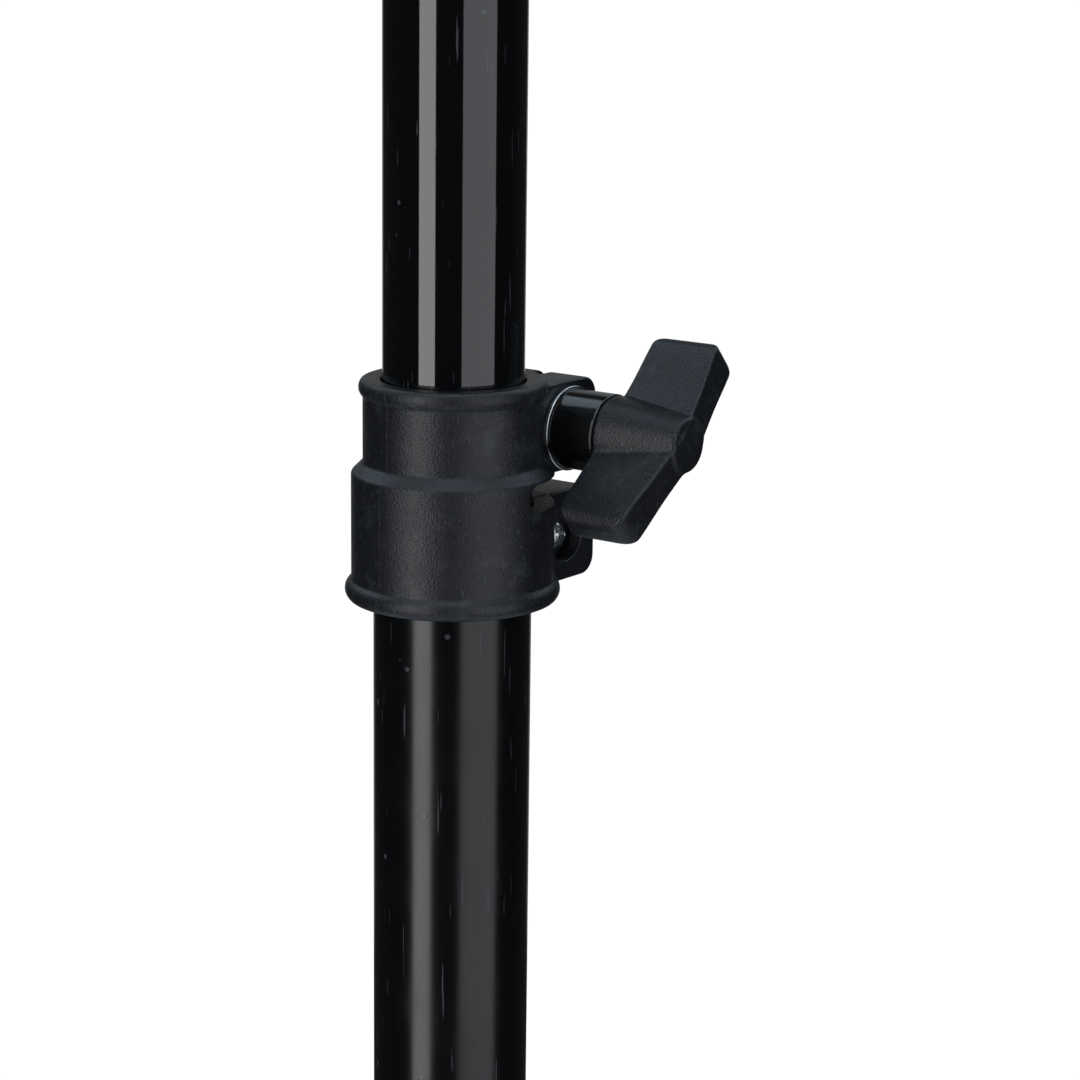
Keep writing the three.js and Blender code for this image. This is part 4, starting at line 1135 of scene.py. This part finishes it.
def add_lights():
    facing = VIEW["azimuth"]
    # name, azimuth, elevation, distance, height, size, radiance, tint
    boxes = [
        ("left_softbox", facing - 43.8, 0, 0.9, 0.75, (0.436, 1.5), 4.9, (0.98, 0.98, 1.0)),
        ("right_softbox", facing + 40.3, 0, 0.9, 0.75, (0.945, 1.5), 1.95, (0.92, 0.95, 1.0)),
        ("rim_panel", facing + 180, 0, 1.6, 0.8, (1.3, 1.8), 0.3, (1.0, 1.0, 1.0)),
        ("top_softbox", facing, 80, 1.7, 0.6, (1.6, 1.6), 2.8, SKY),
        ("sky_right", facing + 125, 42, 1.9, 0.62, (1.6, 1.4), 1.6, SKY),
        ("sky_left", facing + 235, 42, 1.9, 0.62, (1.6, 1.4), 1.6, SKY),
    ]
    for name, azimuth, elevation, *settings in boxes:
        lamp = add_softbox(name, azimuth, elevation, *settings)
        if elevation:
            shine_through(lamp, ["desk_panel_sheet", "desk_ledge_sheet", "desk_bracket_plate"])


def shine_through(lamp, names):
    """Let the light reach what those pieces would shade: the collar, which stands under the desk."""
    blockers = bpy.data.collections.new(f"{lamp.name}_blockers")
    for name in names:
        blockers.objects.link(bpy.data.objects[name])
    for entry in blockers.collection_objects:
        entry.light_linking.link_state = "EXCLUDE"
    lamp.light_linking.blocker_collection = blockers


def add_world():
    """White to the camera, and a dim even light to everything else."""
    world = bpy.data.worlds.new("studio")
    bpy.context.scene.world = world
    world.use_nodes = True
    nodes, links = world.node_tree.nodes, world.node_tree.links
    nodes.clear()
    choice = nodes.new("ShaderNodeMixShader")
    links.new(nodes.new("ShaderNodeLightPath").outputs["Is Camera Ray"], choice.inputs["Fac"])
    lights = [(1, (0.9, 0.95, 1.0, 1.0), DIM_LIGHT), (2, (1.0, 1.0, 1.0, 1.0), BACKGROUND)]
    for socket, colour, strength in lights:
        background = nodes.new("ShaderNodeBackground")
        background.inputs["Color"].default_value = colour
        background.inputs["Strength"].default_value = strength
        links.new(background.outputs[0], choice.inputs[socket])
    links.new(choice.outputs[0], nodes.new("ShaderNodeOutputWorld").inputs["Surface"])


def floor_material():
    """Pale matt floor that fades into the background towards its edge."""
    n = Nodes("studio_floor")
    n.constant("Base Color", (0.86, 0.86, 0.87, 1.0))
    n.constant("Roughness", 0.75)
    fade = n.add("ShaderNodeTexGradient", gradient_type="SPHERICAL")
    n.link(n.where, fade.inputs["Vector"])
    ramp = n.add("ShaderNodeMapRange", interpolation_type="SMOOTHSTEP")
    ramp.inputs["From Min"].default_value = FLOOR["clear"]
    ramp.inputs["From Max"].default_value = FLOOR["solid"]
    n.link(fade.outputs["Fac"], ramp.inputs["Value"])
    n.link(ramp.outputs["Result"], n.shader.inputs["Alpha"])
    return n.material


def add_floor():
    """A disc, scaled so that its own axes run from 0 at the middle to 1 at the edge."""
    sides, radius = FLOOR["sides"], FLOOR["radius"]
    angles = [2 * math.pi * k / sides for k in range(sides)]
    mesh = bpy.data.meshes.new("floor")
    mesh.from_pydata([(math.cos(a), math.sin(a), 0) for a in angles], [], [tuple(range(sides))])
    mesh.materials.append(floor_material())
    floor = placed("floor", mesh)
    floor.scale = (radius, radius, radius)


# ---- the whole scene


def build_all():
    knob = wing_knob()
    build_mast()
    build_collar()
    build_clamp(knob)
    build_base()
    build_crown_lock(knob)
    build_desk(knob)


build_all()
add_floor()
add_world()
add_lights()
add_camera()
bpy.context.scene.view_settings.view_transform = "Standard"
